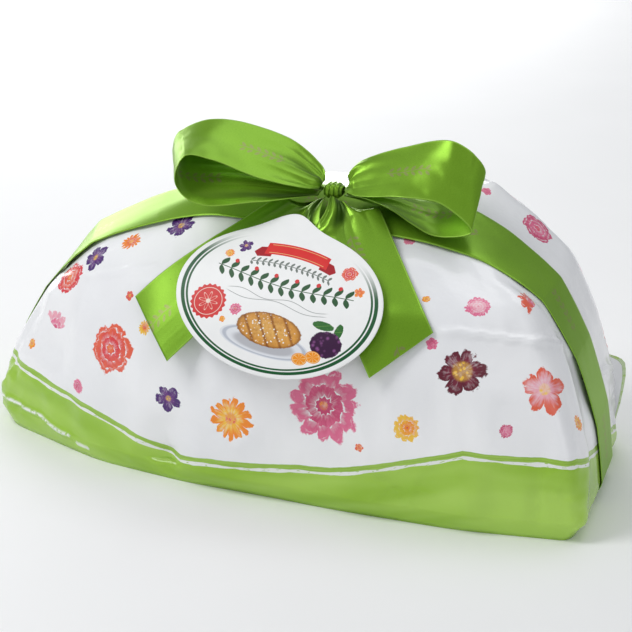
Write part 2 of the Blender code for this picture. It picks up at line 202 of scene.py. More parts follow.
# The ribbon under the knot: where the shadow's middle lies, and its dark and its clear radius
SHADOW_OFFSET = Vector((0.0, 9.0, 0.0))
SHADOW_REACH = (9.0, 24.0)
# The bronze sprigs: how far apart they and their leaves are, and half a sprig's length
SPRIG_PITCH = 78.0
LEAF_PITCH = 4.4
SPRIG_REACH = 14.0

# The bow
GATHERED_WIDTH = 11.0
LOOP_STATIONS = 170
LOOP_ROWS = 61
LOOP_CLEARANCE = 1.6
LOOP_KNOT_SHARE = 0.10
# Pleats: how far along a loop they reach, their height where the ribbon is gathered and at the
# knot, their share on the smooth first run of the right loop, and the phase that each run starts at
PLEAT_REACH = 0.34
PLEAT_GATHERED = 1.2
PLEAT_AT_KNOT = 3.0
PLEAT_SMOOTH_RUN = 0.25
PLEAT_PHASES = (0.5, 2.0)
PLEAT_RIGHT_PHASE = 0.9
# The roll at the start of the right loop's far edge: where it rises and falls along the loop, its
# height, and its place and width across the ribbon
ROLL_RISE = (0.01, 0.05)
ROLL_FALL = (0.10, 0.24)
ROLL_HEIGHT = 3.2
ROLL_PLACE = 0.86
ROLL_WIDTH = 0.11
# Each loop: the far and the near edge of its ribbon at each station, from the knot and back to it
LOOPS = {
    "bow_loop_left": (
        ((0, 0, 163), (0, -11, 161)),
        ((-6, 7, 170), (-6, -20, 164)),
        ((-27, 8, 184), (-26, -29, 169)),
        ((-61, -2, 194), (-53, -39, 180)),
        ((-84, -11, 187), (-66, -48, 183)),
        ((-86, -17, 174), (-69, -54, 169)),
        ((-72, -18, 178), (-56, -51, 157)),
        ((-43, -8, 175), (-28, -40, 158)),
        ((0, -2, 159), (0, -13, 157.5)),
    ),
    "bow_loop_right": (
        ((15, 1, 163), (15, -10, 161)),
        ((17, 10, 172), (26, -14, 160)),
        ((42, 14, 183), (52, -20, 164)),
        ((73, 9, 190), (74, -19, 162)),
        ((92, 8, 174), (93, -22, 149)),
        ((69, 12, 158), (71, -23, 145)),
        ((37, 15, 157), (42, -20, 156)),
        ((15, 1, 159), (15, -10, 157.5)),
    ),
}

# The tails: they start gathered at the knot, spread, and bridge what lies under them
TAIL_STATIONS = 130
TAIL_ROWS = 61
TAIL_LIFT = 2.5
TAIL_START = 0.26
TAIL_SPREAD = 6.5
TAIL_TURN_SHARE = 0.15
TAIL_SINK = 4.0
TAIL_KNOT_GAP = 2.0
TAIL_SIDE_STEP = 3.8
TAIL_PLEAT_REACH = 0.42
TAIL_PLEAT_GATHERED = 1.6
TAIL_PLEAT_AT_KNOT = 3.0
TAIL_PHASE = 0.9
TAIL_BRIDGE_SLOPE = 0.22
TAIL_SMOOTHING = 130
# The hollow under the knot, between the tails, which is darkened with painted shade: its length and
# half width, how far out it pushes the tails aside, and the height of the lip along it
HOLLOW_LENGTH = 28.0
HOLLOW_HALF_WIDTH = 6.0
HOLLOW_SIDES = 18.0
HOLLOW_LIP = 3.0
# Each tail: the two corners of its end, across from the knot and up the front slope
TAILS = {
    "bow_tail_left": ((-99.5, -80.0), (-69.5, -116.5)),
    "bow_tail_right": ((49.7, -113.0), (79.7, -83.5)),
}

# The knot: points round it and across it, its two sets of pleats (height, pace), its inset from
# the CAD knot, and how dark its pleats are painted as shade
KNOT_SEGMENTS = 72
KNOT_ROWS = 41
KNOT_PLEATS = ((0.07, 12.0), (0.04, 25.0))
KNOT_INSET = 0.93
KNOT_PAINTED_SHADE = 7.0

# The tag: an oval with a rounded peak
TAG_HALF_WIDTH = 61.0
TAG_HALF_HEIGHT = 44.5
TAG_BUMP_HEIGHT = 10.0
TAG_BUMP_SPREAD = 0.24
TAG_BUMP_ANGLE = math.radians(103.0)
TAG_THICKNESS = 0.7
TAG_TURN = math.radians(-9.0)
TAG_CENTRE = Vector((-1.3, -71.8, 116.0))
TAG_LEAN = math.radians(43.0)
TAG_BEND = 180.0
TAG_SEGMENTS = 240
TAG_RINGS = 44
TAG_BACK_RINGS = 8
# The rounded rim: share of the outline, height in half thicknesses
TAG_RIM = ((0.994, 1.0), (0.9985, 0.75), (1.0, 0.3), (1.0, -0.3), (0.9985, -0.75), (0.994, -1.0))
# The tag's print coordinates are millimetres over this number
PRINT_UNIT = 10.0

# Pigments, linear
CORAL = (0.80, 0.13, 0.07)
RED = (0.72, 0.05, 0.07)
PINK = (0.78, 0.16, 0.30)
PALE_PINK = (0.86, 0.42, 0.50)
ROSE = (0.62, 0.06, 0.17)
ORANGE = (0.90, 0.26, 0.02)
YELLOW = (0.92, 0.56, 0.06)
BURGUNDY = (0.13, 0.015, 0.03)
WINE = (0.24, 0.03, 0.06)
VIOLET = (0.07, 0.02, 0.16)
PURPLE = (0.15, 0.04, 0.22)

# Each kind of printed flower: petals, how deep the notches between them go, how round they are,
# rings of petals, radius of the centre, and how far round the petals go
FLOWERS = {
    "peony": (6, 0.20, 0.7, 3.4, 0.16, 4.0),
    "ruffle": (11, 0.22, 0.8, 3.0, 0.10, 4.0),
    "anemone": (6, 0.48, 0.45, 1.0, 0.36, 4.0),
    "blossom": (5, 0.50, 0.50, 1.0, 0.20, 4.0),
    "daisy": (13, 0.42, 0.60, 1.0, 0.24, 4.0),
    "puff": (17, 0.12, 1.0, 4.5, 0.05, 4.0),
    "fan": (11, 0.30, 0.70, 3.0, 0.14, 1.15),
    "spot": (5, 0.25, 0.80, 1.0, 0.30, 4.0),
}

# How far from its middle a flower may be painted, in radii, how much a face has to face the same
# way, the coordinate of bare faces, and the step of the noise from flower to flower
FLOWER_REACH = 1.45
FLOWER_FACING = 0.2
FLOWER_FAR = 9.0
FLOWER_SEED_STEP = 3.7

# Each flower on the front: kind, place, radius, turn in degrees, three pigments
FRONT_FLOWERS = (
    ("peony", (-106, -65, 70), 17.5, 20, CORAL, RED, ORANGE),
    ("anemone", (105, -75, 88), 15.5, 10, BURGUNDY, WINE, YELLOW),
    ("daisy", (-25, -84, 46), 15.0, 0, ORANGE, YELLOW, CORAL),
    ("ruffle", (30, -87, 62), 25.0, 40, PINK, ROSE, ORANGE),
    ("blossom", (-66, -79, 50), 9.5, 50, VIOLET, PURPLE, YELLOW),
    ("ruffle", (78, -86, 56), 9.0, 0, YELLOW, ORANGE, RED),
    ("blossom", (148, -66, 80), 15.0, 15, CORAL, PALE_PINK, YELLOW),
    ("puff", (106, -51, 116), 8.0, 0, PINK, PALE_PINK, ROSE),
    ("fan", (131, -33, 113), 12.5, 110, CORAL, PINK, YELLOW),
    ("blossom", (-134, -24, 109), 10.5, 70, VIOLET, PURPLE, YELLOW),
    ("daisy", (-112, -22, 121), 7.5, 0, ORANGE, CORAL, YELLOW),
    ("fan", (-154, -40, 68), 13.0, 80, PALE_PINK, PINK, ROSE),
    ("spot", (-171, -37, 55), 4.0, 0, ORANGE, YELLOW, RED),
    ("puff", (-130, -63, 43), 5.0, 0, PINK, ROSE, PINK),
    ("daisy", (163, -55, 58), 5.5, 0, ORANGE, YELLOW, RED),
    ("spot", (87, -73, 101), 4.0, 30, PINK, ROSE, PINK),
    ("blossom", (157, -9, 70), 9.0, 30, PURPLE, VIOLET, YELLOW),
    ("peony", (113, 44, 133), 13.0, 0, ROSE, PINK, RED),
    ("spot", (78, -55, 119), 3.0, 0, ORANGE, YELLOW, RED),
    ("puff", (132, -82, 60), 4.5, 0, ROSE, PINK, PINK),
    ("spot", (-98, -55, 100), 3.5, 0, CORAL, RED, YELLOW),
    ("peony", (-148, -22, 92), 12.5, 60, RED, CORAL, ORANGE),
    ("daisy", (-84, -66, 86), 5.0, 0, YELLOW, ORANGE, RED),
    ("spot", (52, -89, 42), 3.0, 0, CORAL, ORANGE, RED),
    ("puff", (106, 2, 134), 6.5, 0, PALE_PINK, PINK, ROSE),
)

# Each flower on the tag: kind, place on the tag, radius, turn in degrees, three pigments
TAG_FLOWERS = (
    ("peony", (33.0, 24.5), 5.4, 20, CORAL, RED, ORANGE),
    ("blossom", (-31.5, 25.0), 4.8, 40, VIOLET, PURPLE, YELLOW),
    ("daisy", (-38.5, 18.0), 3.2, 0, ORANGE, YELLOW, CORAL),
    ("ruffle", (-21.0, -13.0), 4.2, 0, PINK, ROSE, ORANGE),
    ("blossom", (43.0, 15.5), 3.6, 15, ORANGE, CORAL, YELLOW),
    ("spot", (-26.0, -20.5), 2.2, 0, ORANGE, YELLOW, RED),
)

# Each kind of flower scattered over the other sides: kind, radii, three pigments
SCATTER_KINDS = (
    ("peony", (14, 18), CORAL, RED, ORANGE),
    ("anemone", (13, 16), BURGUNDY, WINE, YELLOW),
    ("daisy", (7, 13), ORANGE, YELLOW, CORAL),
    ("ruffle", (12, 24), PINK, ROSE, ORANGE),
    ("blossom", (8, 13), VIOLET, PURPLE, YELLOW),
    ("blossom", (11, 15), CORAL, PALE_PINK, YELLOW),
    ("fan", (10, 14), CORAL, PINK, YELLOW),
    ("puff", (4, 8), PINK, ROSE, PINK),
    ("spot", (3, 4), ORANGE, YELLOW, RED),
    ("spot", (3, 5), PINK, ROSE, PINK),
)
SCATTER_TRIES = 2600
SCATTER_FIRST_RING = 10
SCATTER_LOWEST = 40
SCATTER_GAP = 5.0

# The lights: place, target and size in metres, power in watts
LIGHTS = {
    "key": ((-0.7, -0.5, 1.1), (0, 0, 0.08), (0.5, 0.7), 8.0),
    "fill": ((0.9, -0.9, 0.6), (0, 0, 0.08), (0.9, 0.7), 2.2),
    "top": ((0.2, 0.5, 1.2), (0, 0, 0.1), (1.0, 0.5), 3.0),
    "back": ((-0.8, 1.2, 0.32), (0, 0, 0.1), (1.2, 0.6), 9.0),
}
SKY_COLOUR = (0.93, 0.96, 1.0, 1.0)
SKY_STRENGTH = 0.40
FLOOR_HALF_WIDTH = 3000.0

# The camera
CAMERA_AZIMUTH = math.radians(20)
CAMERA_ELEVATION = math.radians(20)
CAMERA_DISTANCE = 1300.0
CAMERA_TARGET = Vector((-4.9, -1.8, 81.0))
CAMERA_SENSOR = 36.0
CAMERA_LENS = 127.7

RNG = random.Random(12)


def operator(operation, swapped=False):
    """Return a method that feeds a value, and what it is combined with, to a math node."""

    def apply(self, *others):
        values = (*others, self) if swapped else (self, *others)
        return self.graph.math(operation, *values)

    return apply


class Value:
    """One value in a node tree, so that a formula can be written as one."""

    def __init__(self, graph, socket):
        self.graph = graph
        self.socket = socket

    __add__, __radd__ = operator("ADD"), operator("ADD", swapped=True)
    __sub__, __rsub__ = operator("SUBTRACT"), operator("SUBTRACT", swapped=True)
    __mul__, __rmul__ = operator("MULTIPLY"), operator("MULTIPLY", swapped=True)
    __truediv__, __pow__ = operator("DIVIDE"), operator("POWER")
    least, most = operator("MINIMUM"), operator("MAXIMUM")
    floor, fract = operator("FLOOR"), operator("FRACT")
    size, sqrt = operator("ABSOLUTE"), operator("SQRT")
    cos, sin = operator("COSINE"), operator("SINE")

    def step(self, start, end):
        """0 up to start and 1 from end, with a smooth rise between; end may lie below start."""
        inputs = {"Value": self, "From Min": start, "From Max": end}
        smooth = {"interpolation_type": "SMOOTHSTEP"}
        return self.graph.value("ShaderNodeMapRange", inputs, "Result", **smooth)


class Graph:
    """A material with a Principled shader and the means to write its inputs as formulas."""

    def __init__(self, name):
        self.material = bpy.data.materials.new(name)
        self.material.use_nodes = True
        self.tree = self.material.node_tree
        self.shader = self.tree.nodes["Principled BSDF"]
        self.colour = None

    def feed(self, socket, value):
        if isinstance(value, Value):
            self.tree.links.new(value.socket, socket)
        else:
            socket.default_value = value

    def add(self, kind, inputs=(), **settings):
        """Add a node; its inputs are given in their order, or by their names or numbers."""
        node = self.tree.nodes.new(kind)
        for key, value in settings.items():
            setattr(node, key, value)
        for key, value in inputs.items() if isinstance(inputs, dict) else enumerate(inputs):
            self.feed(node.inputs[key], value)
        return node

    def value(self, kind, inputs=(), output=0, **settings):
        """Add a node and return one of its outputs."""
        return Value(self, self.add(kind, inputs, **settings).outputs[output])

    def math(self, operation, *values):
        return self.value("ShaderNodeMath", values, operation=operation)

    def vector(self, x, y, z=0.0):
        return self.value("ShaderNodeCombineXYZ", (x, y, z))

    def split(self, vector):
        node = self.add("ShaderNodeSeparateXYZ", [vector])
        return [Value(self, output) for output in node.outputs]

    def noise(self, vector, scale, detail=2.0, roughness=0.5):
        inputs = {"Vector": vector, "Scale": scale, "Detail": detail, "Roughness": roughness}
        return self.value("ShaderNodeTexNoise", inputs)

    def cells(self, vector, scale):
        return self.value("ShaderNodeTexVoronoi", {"Vector": vector, "Scale": scale}, "Distance")

    def uv(self, name):
        return self.value("ShaderNodeUVMap", uv_map=name)

    def attribute(self, name, output="Fac"):
        return self.value("ShaderNodeAttribute", (), output, attribute_name=name)

    def position(self):
        """The place on the object, in millimetres."""
        inputs = {0: self.value("ShaderNodeTexCoord", (), "Object"), "Scale": 1 / MM}
        return self.value("ShaderNodeVectorMath", inputs, operation="SCALE")

    def tint(self, first, second, share):
        """The first colour turning into the second as share goes from 0 to 1."""
        first, second = ((*c, 1.0) if isinstance(c, tuple) else c for c in (first, second))
        inputs = {0: share, 6: first, 7: second}
        return self.value("ShaderNodeMix", inputs, 2, data_type="RGBA", clamp_factor=True)

    def paint(self, pigment, cover):
        """Lay a pigment over the material's colour so far."""
        self.colour = self.tint(self.colour, pigment, cover)

    def bump(self, height, strength, distance):
        inputs = {"Strength": strength, "Distance": distance * MM, "Height": height}
        self.link("Normal", self.value("ShaderNodeBump", inputs))

    def link(self, name, value):
        self.feed(self.shader.inputs[name], value)

    def fixed(self, **settings):
        for key, value in settings.items():
            self.shader.inputs[key.replace("_", " ")].default_value = value


def rounded_path(corners, position, closed):
    """Return the point at a position along straight runs whose corners are rounded."""
    count = len(corners)
    index = int(math.floor(position + 0.5))
    offset = position - index
    sharp = WRAP_SHARP_FOLDS if closed else {}
    rounding = sharp.get(index % count, WRAP_CORNER_ROUNDING)

    def corner(i):
        return corners[i % count] if closed else corners[min(max(i, 0), count - 1)]

    here = corner(index)
    if abs(offset) >= rounding:
        return here.lerp(corner(index + (1 if offset > 0 else -1)), abs(offset))
    before = here.lerp(corner(index - 1), rounding)
    after = here.lerp(corner(index + 1), rounding)
    t = (offset + rounding) / (2 * rounding)
    return before * (1 - t) ** 2 + here * (2 * t * (1 - t)) + after * t ** 2


def fold_points(fold):
    """Return one fold's points, from its foot to the rim of the top."""
    foot = Vector((fold[0], fold[1], 0.0))
    rim = Vector((fold[3], fold[4], 0.0))
    points = []
    for height, steep, sloping, share in WRAP_LEVELS:
        place = foot.lerp(rim, steep + (sloping - steep) * fold[2])
        points.append(Vector((place.x, place.y, height + fold[5] * share)))
    return points


def wrap_rings():
    """Return the wrap's rings from the middle of its base to the middle of its top."""
    folds = [fold_points(fold) for fold in WRAP_FOLDS]
    around = len(folds) * WRAP_STEPS_AROUND
    rings = []
    for step in range((len(WRAP_LEVELS) - 1) * WRAP_STEPS_UP + 1):
        knots = [rounded_path(points, step / WRAP_STEPS_UP, False) for points in folds]
        rings.append([rounded_path(knots, i / WRAP_STEPS_AROUND, True) for i in range(around)])
    foot = rings[0]
    below = []
    for level in WRAP_ROUNDING_LEVELS:
        ring = []
        for point in foot:
            plan = Vector((point.x, point.y, 0.0))
            inset = plan - plan.normalized() * WRAP_BASE_INSET
            ring.append(point.lerp(inset, 1 - level))
        below.append(ring)
    base = []
    for step in range(1, WRAP_BASE_RINGS):
        share = (step / WRAP_BASE_RINGS) ** 0.8
        base.append([Vector((point.x * share, point.y * share, 0.0)) for point in below[0]])
    rim = rings[-1]
    middle = sum(rim, Vector()) / len(rim)
    for step in range(1, WRAP_CAP_RINGS + 1):
        share = step / (WRAP_CAP_RINGS + 0.5)
        rise = Vector((0.0, 0.0, WRAP_TOP_RISE * math.sin(share * math.pi / 2)))
        rings.append([point.lerp(middle, share) + rise for point in rim])
    return base + below + rings


def ring_normals(rings):
    """Return the normals of rings of points."""
    across = np.roll(rings, -1, axis=1) - np.roll(rings, 1, axis=1)
    normals = np.cross(across, np.gradient(rings, axis=0))
    return normals / np.maximum(np.linalg.norm(normals, axis=2, keepdims=True), 1e-9)


def soft(value, start, end):
    """0 up to start and 1 from end, with a smooth rise between."""
    t = np.clip((value - start) / (end - start), 0.0, 1.0)
    return t * t * (3 - 2 * t)


def distance_to_path(points, path):
    """Return how far each point lies from a path of straight runs."""
    nearest = np.full(points.shape[:-1], 1e9)
    for start, end in zip(path, path[1:]):
        start, run = np.array(start, float), np.array(end, float) - np.array(start, float)
        share = np.clip(((points - start) @ run) / (run @ run), 0.0, 1.0)
        gap = np.linalg.norm(points - start - share[..., None] * run, axis=-1)
        nearest = np.minimum(nearest, gap)
    return nearest


def snapped(path, rings):
    """Return the path laid on the surface, with a point every few millimetres."""
    flat = rings.reshape(-1, 3)
    found = []
    for start, end in zip(path, path[1:]):
        start, end = np.array(start, float), np.array(end, float)
        parts = max(2, int(np.linalg.norm(end - start) / SNAP_STEP))
        for part in range(parts + 1):
            spot = start + (end - start) * part / parts
            nearest = tuple(flat[np.argmin(np.linalg.norm(flat - spot, axis=1))])
            if not found or math.dist(nearest, found[-1]) > 1.0:
                found.append(nearest)
    return found


def noise_grid(points, scale, offset=0.0):
    """Return smooth noise, from -1 to 1, at each point."""
    flat = points.reshape(-1, 3) / scale + offset
    return np.array([noise.noise(p) for p in flat]).reshape(points.shape[:-1])


def waves(place, heights_and_scales):
    """Return the height of smooth waves at one place."""
    return sum(height * noise.noise(place / scale) for height, scale in heights_and_scales)


def node_tree(*names):
    """Return a search tree of CAD nodes, in millimetres of the plan."""
    points, faces = [], []
    for name in names:
        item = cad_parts[name]
        first = len(points)
        points += [(item.matrix_world @ vertex.co - SHIFT) / MM for vertex in item.data.vertices]
        faces += [[first + i for i in face.vertices] for face in item.data.polygons]
    return BVHTree.FromPolygons(points, faces)


def grid_faces(rows, columns, closed=False, first=0):
    """Return the faces of a grid of points; a closed grid joins its last column to its first."""
    faces = []
    for i in range(rows - 1):
        low, high = first + i * columns, first + (i + 1) * columns
        for j in range(columns if closed else columns - 1):
            k = (j + 1) % columns
            faces.append((low + j, low + k, high + k, high + j))
    return faces


def values_of(items, field, kind=float, width=1):
    """Return one field of all corners or faces of a mesh as an array."""
    values = np.zeros(len(items) * width, kind)
    items.foreach_get(field, values)
    return values.reshape(-1, width) if width > 1 else values


def add_attribute(mesh, name, values, kind="FLOAT", domain="POINT", field="value"):
    """Write one value for each point or corner of a mesh."""
    mesh.attributes.new(name, kind, domain).data.foreach_set(field, np.ravel(values))


def new_object(name, points, faces, material):
    """Make a smooth mesh object from points in millimetres of the plan."""
    mesh = bpy.data.meshes.new(name)
    mesh.from_pydata([Vector(p) * MM + SHIFT for p in points], [], faces)
    mesh.shade_smooth()
    mesh.materials.append(material)
    item = bpy.data.objects.new(name, mesh)
    bpy.context.collection.objects.link(item)
    return item


def place_flowers(item, places, flowers):
    """Write each flower's coordinates, shape and pigments on the faces round its middle."""
    mesh = item.data
    corners = values_of(mesh.loops, "vertex_index", int)
    middles = values_of(mesh.polygons, "center", width=3) / MM - np.array(SHIFT) / MM
    facing = values_of(mesh.polygons, "normal", width=3)
    starts = values_of(mesh.polygons, "loop_start", int)
    totals = values_of(mesh.polygons, "loop_total", int)
    order = np.concatenate([np.arange(s, s + t) for s, t in zip(starts, totals)])
    corner_face = np.zeros(len(corners), int)
    corner_face[order] = np.repeat(np.arange(len(totals)), totals)

    count = len(corners)
    spots = np.array(places, float)[corners]
    uv = np.full((count, 2), FLOWER_FAR)
    shape, make, seed = np.zeros((count, 3)), np.zeros((count, 3)), np.zeros(count)
    pigments = [np.ones((count, 4)) for _ in range(3)]

    # Each face goes to the flower that is nearest, measured in that flower's radius
    closest = np.full(len(totals), FLOWER_REACH)
    for index, (kind, centre, radius, degrees, *colours) in enumerate(flowers):
        centre = np.array(centre, float)
        near = np.linalg.norm(middles - centre, axis=1)
        normal = facing[np.argmin(near)]
        east = np.cross((0.0, 0.0, 1.0), normal)
        east /= np.linalg.norm(east)
        north = np.cross(normal, east)
        turn = math.radians(degrees)
        right = east * math.cos(turn) + north * math.sin(turn)
        up = north * math.cos(turn) - east * math.sin(turn)
        reach = near / radius
        taken = (reach < closest) & (facing @ normal > FLOWER_FACING)
        closest[taken] = reach[taken]
        mine = taken[corner_face]
        for axis, direction in enumerate((right, up)):
            uv[mine, axis] = (spots[mine] - centre) @ (direction / radius)
        shape[mine], make[mine] = FLOWERS[kind][:3], FLOWERS[kind][3:]
        seed[mine] = index * FLOWER_SEED_STEP
        for pigment, colour in zip(pigments, colours):
            pigment[mine, :3] = colour

    mesh.uv_layers.new(name="flower_uv").data.foreach_set("uv", uv.ravel())
    add_attribute(mesh, "flower_shape", shape, "FLOAT_VECTOR", "CORNER", "vector")
    add_attribute(mesh, "flower_make", make, "FLOAT_VECTOR", "CORNER", "vector")
    add_attribute(mesh, "flower_seed", seed, "FLOAT", "CORNER")
    for letter, pigment in zip("abc", pigments):
        add_attribute(mesh, "pigment_" + letter, pigment, "FLOAT_COLOR", "CORNER", "color")


def paint_flowers(g):
    """Return the colour and the cover of the printed flowers, in watercolour."""
    x, y, _ = g.split(g.uv("flower_uv"))
    petals, valley, roundness = g.split(g.attribute("flower_shape", "Vector"))
    rings, centre, reach = g.split(g.attribute("flower_make", "Vector"))
    seed = g.attribute("flower_seed")
    place = g.vector(x, y, seed)
    broad = g.noise(place, 1.7, 2.0) - 0.5
    fine = g.noise(place, 7.0, 3.0, 0.6) - 0.5
    radius = (x * x + y * y).sqrt()
    angle = g.math("ARCTAN2", y, x) + broad * 0.7
    petal = (angle * petals * 0.5).cos().size() ** roundness
    edge = (1.0 - valley * (1.0 - petal)) * (0.84 + broad * 0.55 + fine * 0.30)
    share = radius / edge
    inside = share.step(1.03, 0.96)

    level = share * rings
    turned = angle + level.floor() * 1.1
    scallop = (turned * petals * 0.5).cos().size()
    ring = (level + scallop * 0.4 + broad * 0.5).fract()
    broken = g.noise(place, 4.5, 1.0).step(0.44, 0.56)
    gap = ring.step(0.17, 0.07) * rings.step(1.2, 1.6) * broken * share.step(0.95, 0.8)

    away = radius + 0.001
    spokes = g.vector(x / away * 3.0, y / away * 3.0, seed + radius)
    streaks = g.noise(spokes, 2.4, 2.0) - 0.5
    density = 0.98 + broad * 1.0 + fine * 0.8 + streaks * 0.9
    density = density + (ring - 0.5) * rings.step(1.2, 1.6) * 0.5
    density = density + share.step(0.80, 0.98) * 0.25
    colour = g.tint(
        g.attribute("pigment_b", "Color"),
        g.attribute("pigment_a", "Color"),
        (share + broad * 1.4 + streaks * 0.8).step(0.25, 0.95),
    )
    dots = g.cells(place, 6.5).step(0.42, 0.30)
    core = (radius + broad * 0.16).step(centre * 1.15, centre * 0.75) * (0.45 + dots * 0.55)
    colour = g.tint(colour, g.attribute("pigment_c", "Color"), core)
    forward = angle.size().step(reach + 0.08, reach)
    cover = inside * forward * (1.0 - gap) * density.most(0.38).least(1.0)
    return colour, cover


def film_material():
    """The printed film: pearl white, flowers in watercolour, a green border with a white line."""
    g = Graph("printed_film")
    place = g.position()
    clouds = g.noise(place, 0.012, 2.0)
    g.colour = g.tint((0.85, 0.855, 0.875), (0.93, 0.93, 0.94), clouds.step(0.3, 0.7))
    g.paint(*paint_flowers(g))

    run = g.attribute("border_run")
    depth = g.attribute("border_depth")
    brush = g.noise(g.vector(run * 0.05, depth * 0.12), 1.0, 3.0, 0.6) - 0.5
    bristle = g.noise(g.vector(run * 0.03, depth * 1.3), 1.0, 3.0, 0.65)
    depth = depth + brush * 1.6
    streak = g.noise(g.vector(run * 0.010, depth * 0.045, 4.0), 1.0, 2.0)
    green = g.tint((0.29, 0.52, 0.030), (0.42, 0.66, 0.10), streak.step(0.30, 0.68))
    strip = g.tint((0.27, 0.47, 0.05), (0.37, 0.59, 0.09), bristle.step(0.3, 0.7))
    green = g.tint(strip, green, depth.step(3.4, 4.2))
    width = 0.15 + g.noise(g.vector(run * 0.045, 7.0), 1.0, 2.0).step(0.25, 0.75) * 1.05
    line = (depth - 3.9).size().step(width + 0.35, width)
    line = line * g.noise(g.vector(run * 0.25, depth * 0.9, 2.0), 1.0, 2.0).step(0.28, 0.42)
    green = g.tint(green, (0.84, 0.86, 0.82), line)
    g.paint(green, depth.step(0.0, 0.35))

    # Whitened print on creases, crumples and the flap's rim: wear and painted highlight
    wear_and_highlight = g.attribute("wear_and_highlight")
    wear_highlight_cover = wear_and_highlight.step(0.30, 0.62) * g.noise(place, 0.35, 2.0).step(0.30, 0.50)
    g.paint((0.93, 0.94, 0.93), wear_highlight_cover)
    g.link("Base Color", g.colour)
    g.link("Roughness", 0.17 + clouds * 0.12 + wear_and_highlight * 0.15)
    g.fixed(Coat_Weight=0.15, Coat_Roughness=0.08, Specular_IOR_Level=0.4)
    ripple = g.noise(place, 0.06, 3.0, 0.55) + g.noise(place, 0.22, 2.0) * 0.12
    g.bump(ripple, 0.32, 1.6)
    return g.material


def satin_material():
    """Green satin ribbon: fine grain, lighter woven edges, a small bronze sprig now and then; its
    folds carry painted shade.
    """
    g = Graph("green_satin")
    across, along, _ = g.split(g.uv("ribbon_uv"))
    x = (across - 0.5) * RIBBON_WIDTH
    y = along * RIBBON_WIDTH
    grain = g.noise(g.vector(x * 2.4, y * 0.9), 1.0, 2.0, 0.6)
    cloud = g.noise(g.vector(x * 0.03, y * 0.03, 3.0), 1.0, 2.0)
    mottle = grain * 0.75 + cloud * 0.45 - 0.1
    g.colour = g.tint((0.115, 0.275, 0.008), (0.25, 0.48, 0.032), mottle)
    rim = (x.size() - RIBBON_WIDTH / 2).step(-1.1, -0.5)
    g.paint((0.33, 0.58, 0.08), rim * 0.6)

    along_sprig = ((y / SPRIG_PITCH).fract() - 0.5) * SPRIG_PITCH
    stem = (x - (along_sprig * 0.22).sin() * 0.8).size().step(0.42, 0.2)
    cell = ((along_sprig / LEAF_PITCH).fract() - 0.5) * LEAF_PITCH
    side = x.size()
    leaf = (((cell - side * 0.55 + 0.8) / 1.25) ** 2.0 + ((side - 2.0) / 1.7) ** 2.0).sqrt()
    sprig = stem.most(leaf.step(1.0, 0.8)) * along_sprig.size().step(SPRIG_REACH, SPRIG_REACH - 1)
    worn_print = g.noise(g.vector(x, y), 1.1, 2.0).step(0.25, 0.5)
    sprig = sprig * (0.35 + worn_print * 0.45)
    g.paint((0.25, 0.26, 0.10), sprig)
    # Painted shade: the ribbons' folds, the hollow and the band round the knot are darkened in
    # colour
    g.paint((0.012, 0.050, 0.002), g.attribute("painted_shade"))
    g.link("Base Color", g.colour)
    g.link("Roughness", 0.24 + grain * 0.12 + rim * 0.12)
    g.link("Tangent", g.value("ShaderNodeTangent", direction_type="UV_MAP", uv_map="ribbon_uv"))
    g.fixed(Metallic=0.45, Anisotropic=0.6, Specular_IOR_Level=0.6)
    g.fixed(Specular_Tint=(0.85, 1.0, 0.5, 1.0))
    g.bump(g.noise(g.vector(x * 3.0, y * 1.0), 1.0, 2.0) * 0.4 + rim * 0.4, 0.25, 0.25)
    return g.material


def wrap_relief(rings):
    """Return how far the film stands out at each point, and how much its print is whitened as wear
    and painted highlight.
    """
    rise, wear_and_highlight = np.zeros(rings.shape[:2]), np.zeros(rings.shape[:2])
    for path, depth, width, white in CREASES:
        gap = distance_to_path(rings, snapped(path, rings[PLAIN_RINGS:]))
        if width > SHARP_CREASE:
            rise += depth * np.exp(-((gap / width) ** 2))
        else:
            rise += depth * np.clip(1 - gap / width, 0, 1) ** 0.8
        # Whitening along the crease: wear and painted highlight
        wear_and_highlight = np.maximum(wear_and_highlight, white * np.clip(1 - gap / WEAR_HIGHLIGHT_WIDTH, 0, 1))
    for scale, offset, upright, height in WRAP_SWELLS:
        rise += noise_grid(rings * (1, 1, upright), scale, offset) * height
    ripple = 0.5 - np.abs(noise_grid(rings * (1, 1, 0.5), RIPPLE_SCALE, 9.0))
    rise += ripple * RIPPLE_HEIGHT
    for centre, radius, depth in CRUMPLES:
        away = np.linalg.norm(rings - np.array(centre, float), axis=2)
        near = np.exp(-((away / radius) ** 2))
        sharp = 0.35 - np.abs(noise_grid(rings, CRUMPLE_SCALES[0], centre[0]))
        sharp = sharp - 0.5 * np.abs(noise_grid(rings, CRUMPLE_SCALES[1], 2.0))
        rise += near * depth * sharp * CRUMPLE_HEIGHT
        # Whitening on sharp crumples: wear and painted highlight
        crumple_wear_highlight = near * soft(sharp, *CRUMPLE_WEAR_HIGHLIGHT_SHARPNESS) * CRUMPLE_WEAR_HIGHLIGHT_AMOUNT
        wear_and_highlight = np.maximum(wear_and_highlight, crumple_wear_highlight * min(depth, 1.0))
    rise *= soft(rings[:, :, 2], 0.0, CALM_HEIGHT)

    # The film lies flat where the ribbons press on it
    cover = node_tree("ribbon_band", "bow_tail_left", "bow_tail_right")
    pressed = np.zeros(rings.shape[:2])
    for i in range(PLAIN_RINGS, rings.shape[0]):
        for j in range(rings.shape[1]):
            gap = cover.find_nearest(Vector(rings[i, j]), PRESS_SEARCH)[3]
            if gap is not None:
                pressed[i, j] = 1.0 - soft(gap, *PRESS_REACH)
    flat = rise * (1 - pressed) + np.minimum(rise, PRESSED_RISE) * pressed
    return np.where(rise > 0, flat, rise), wear_and_highlight


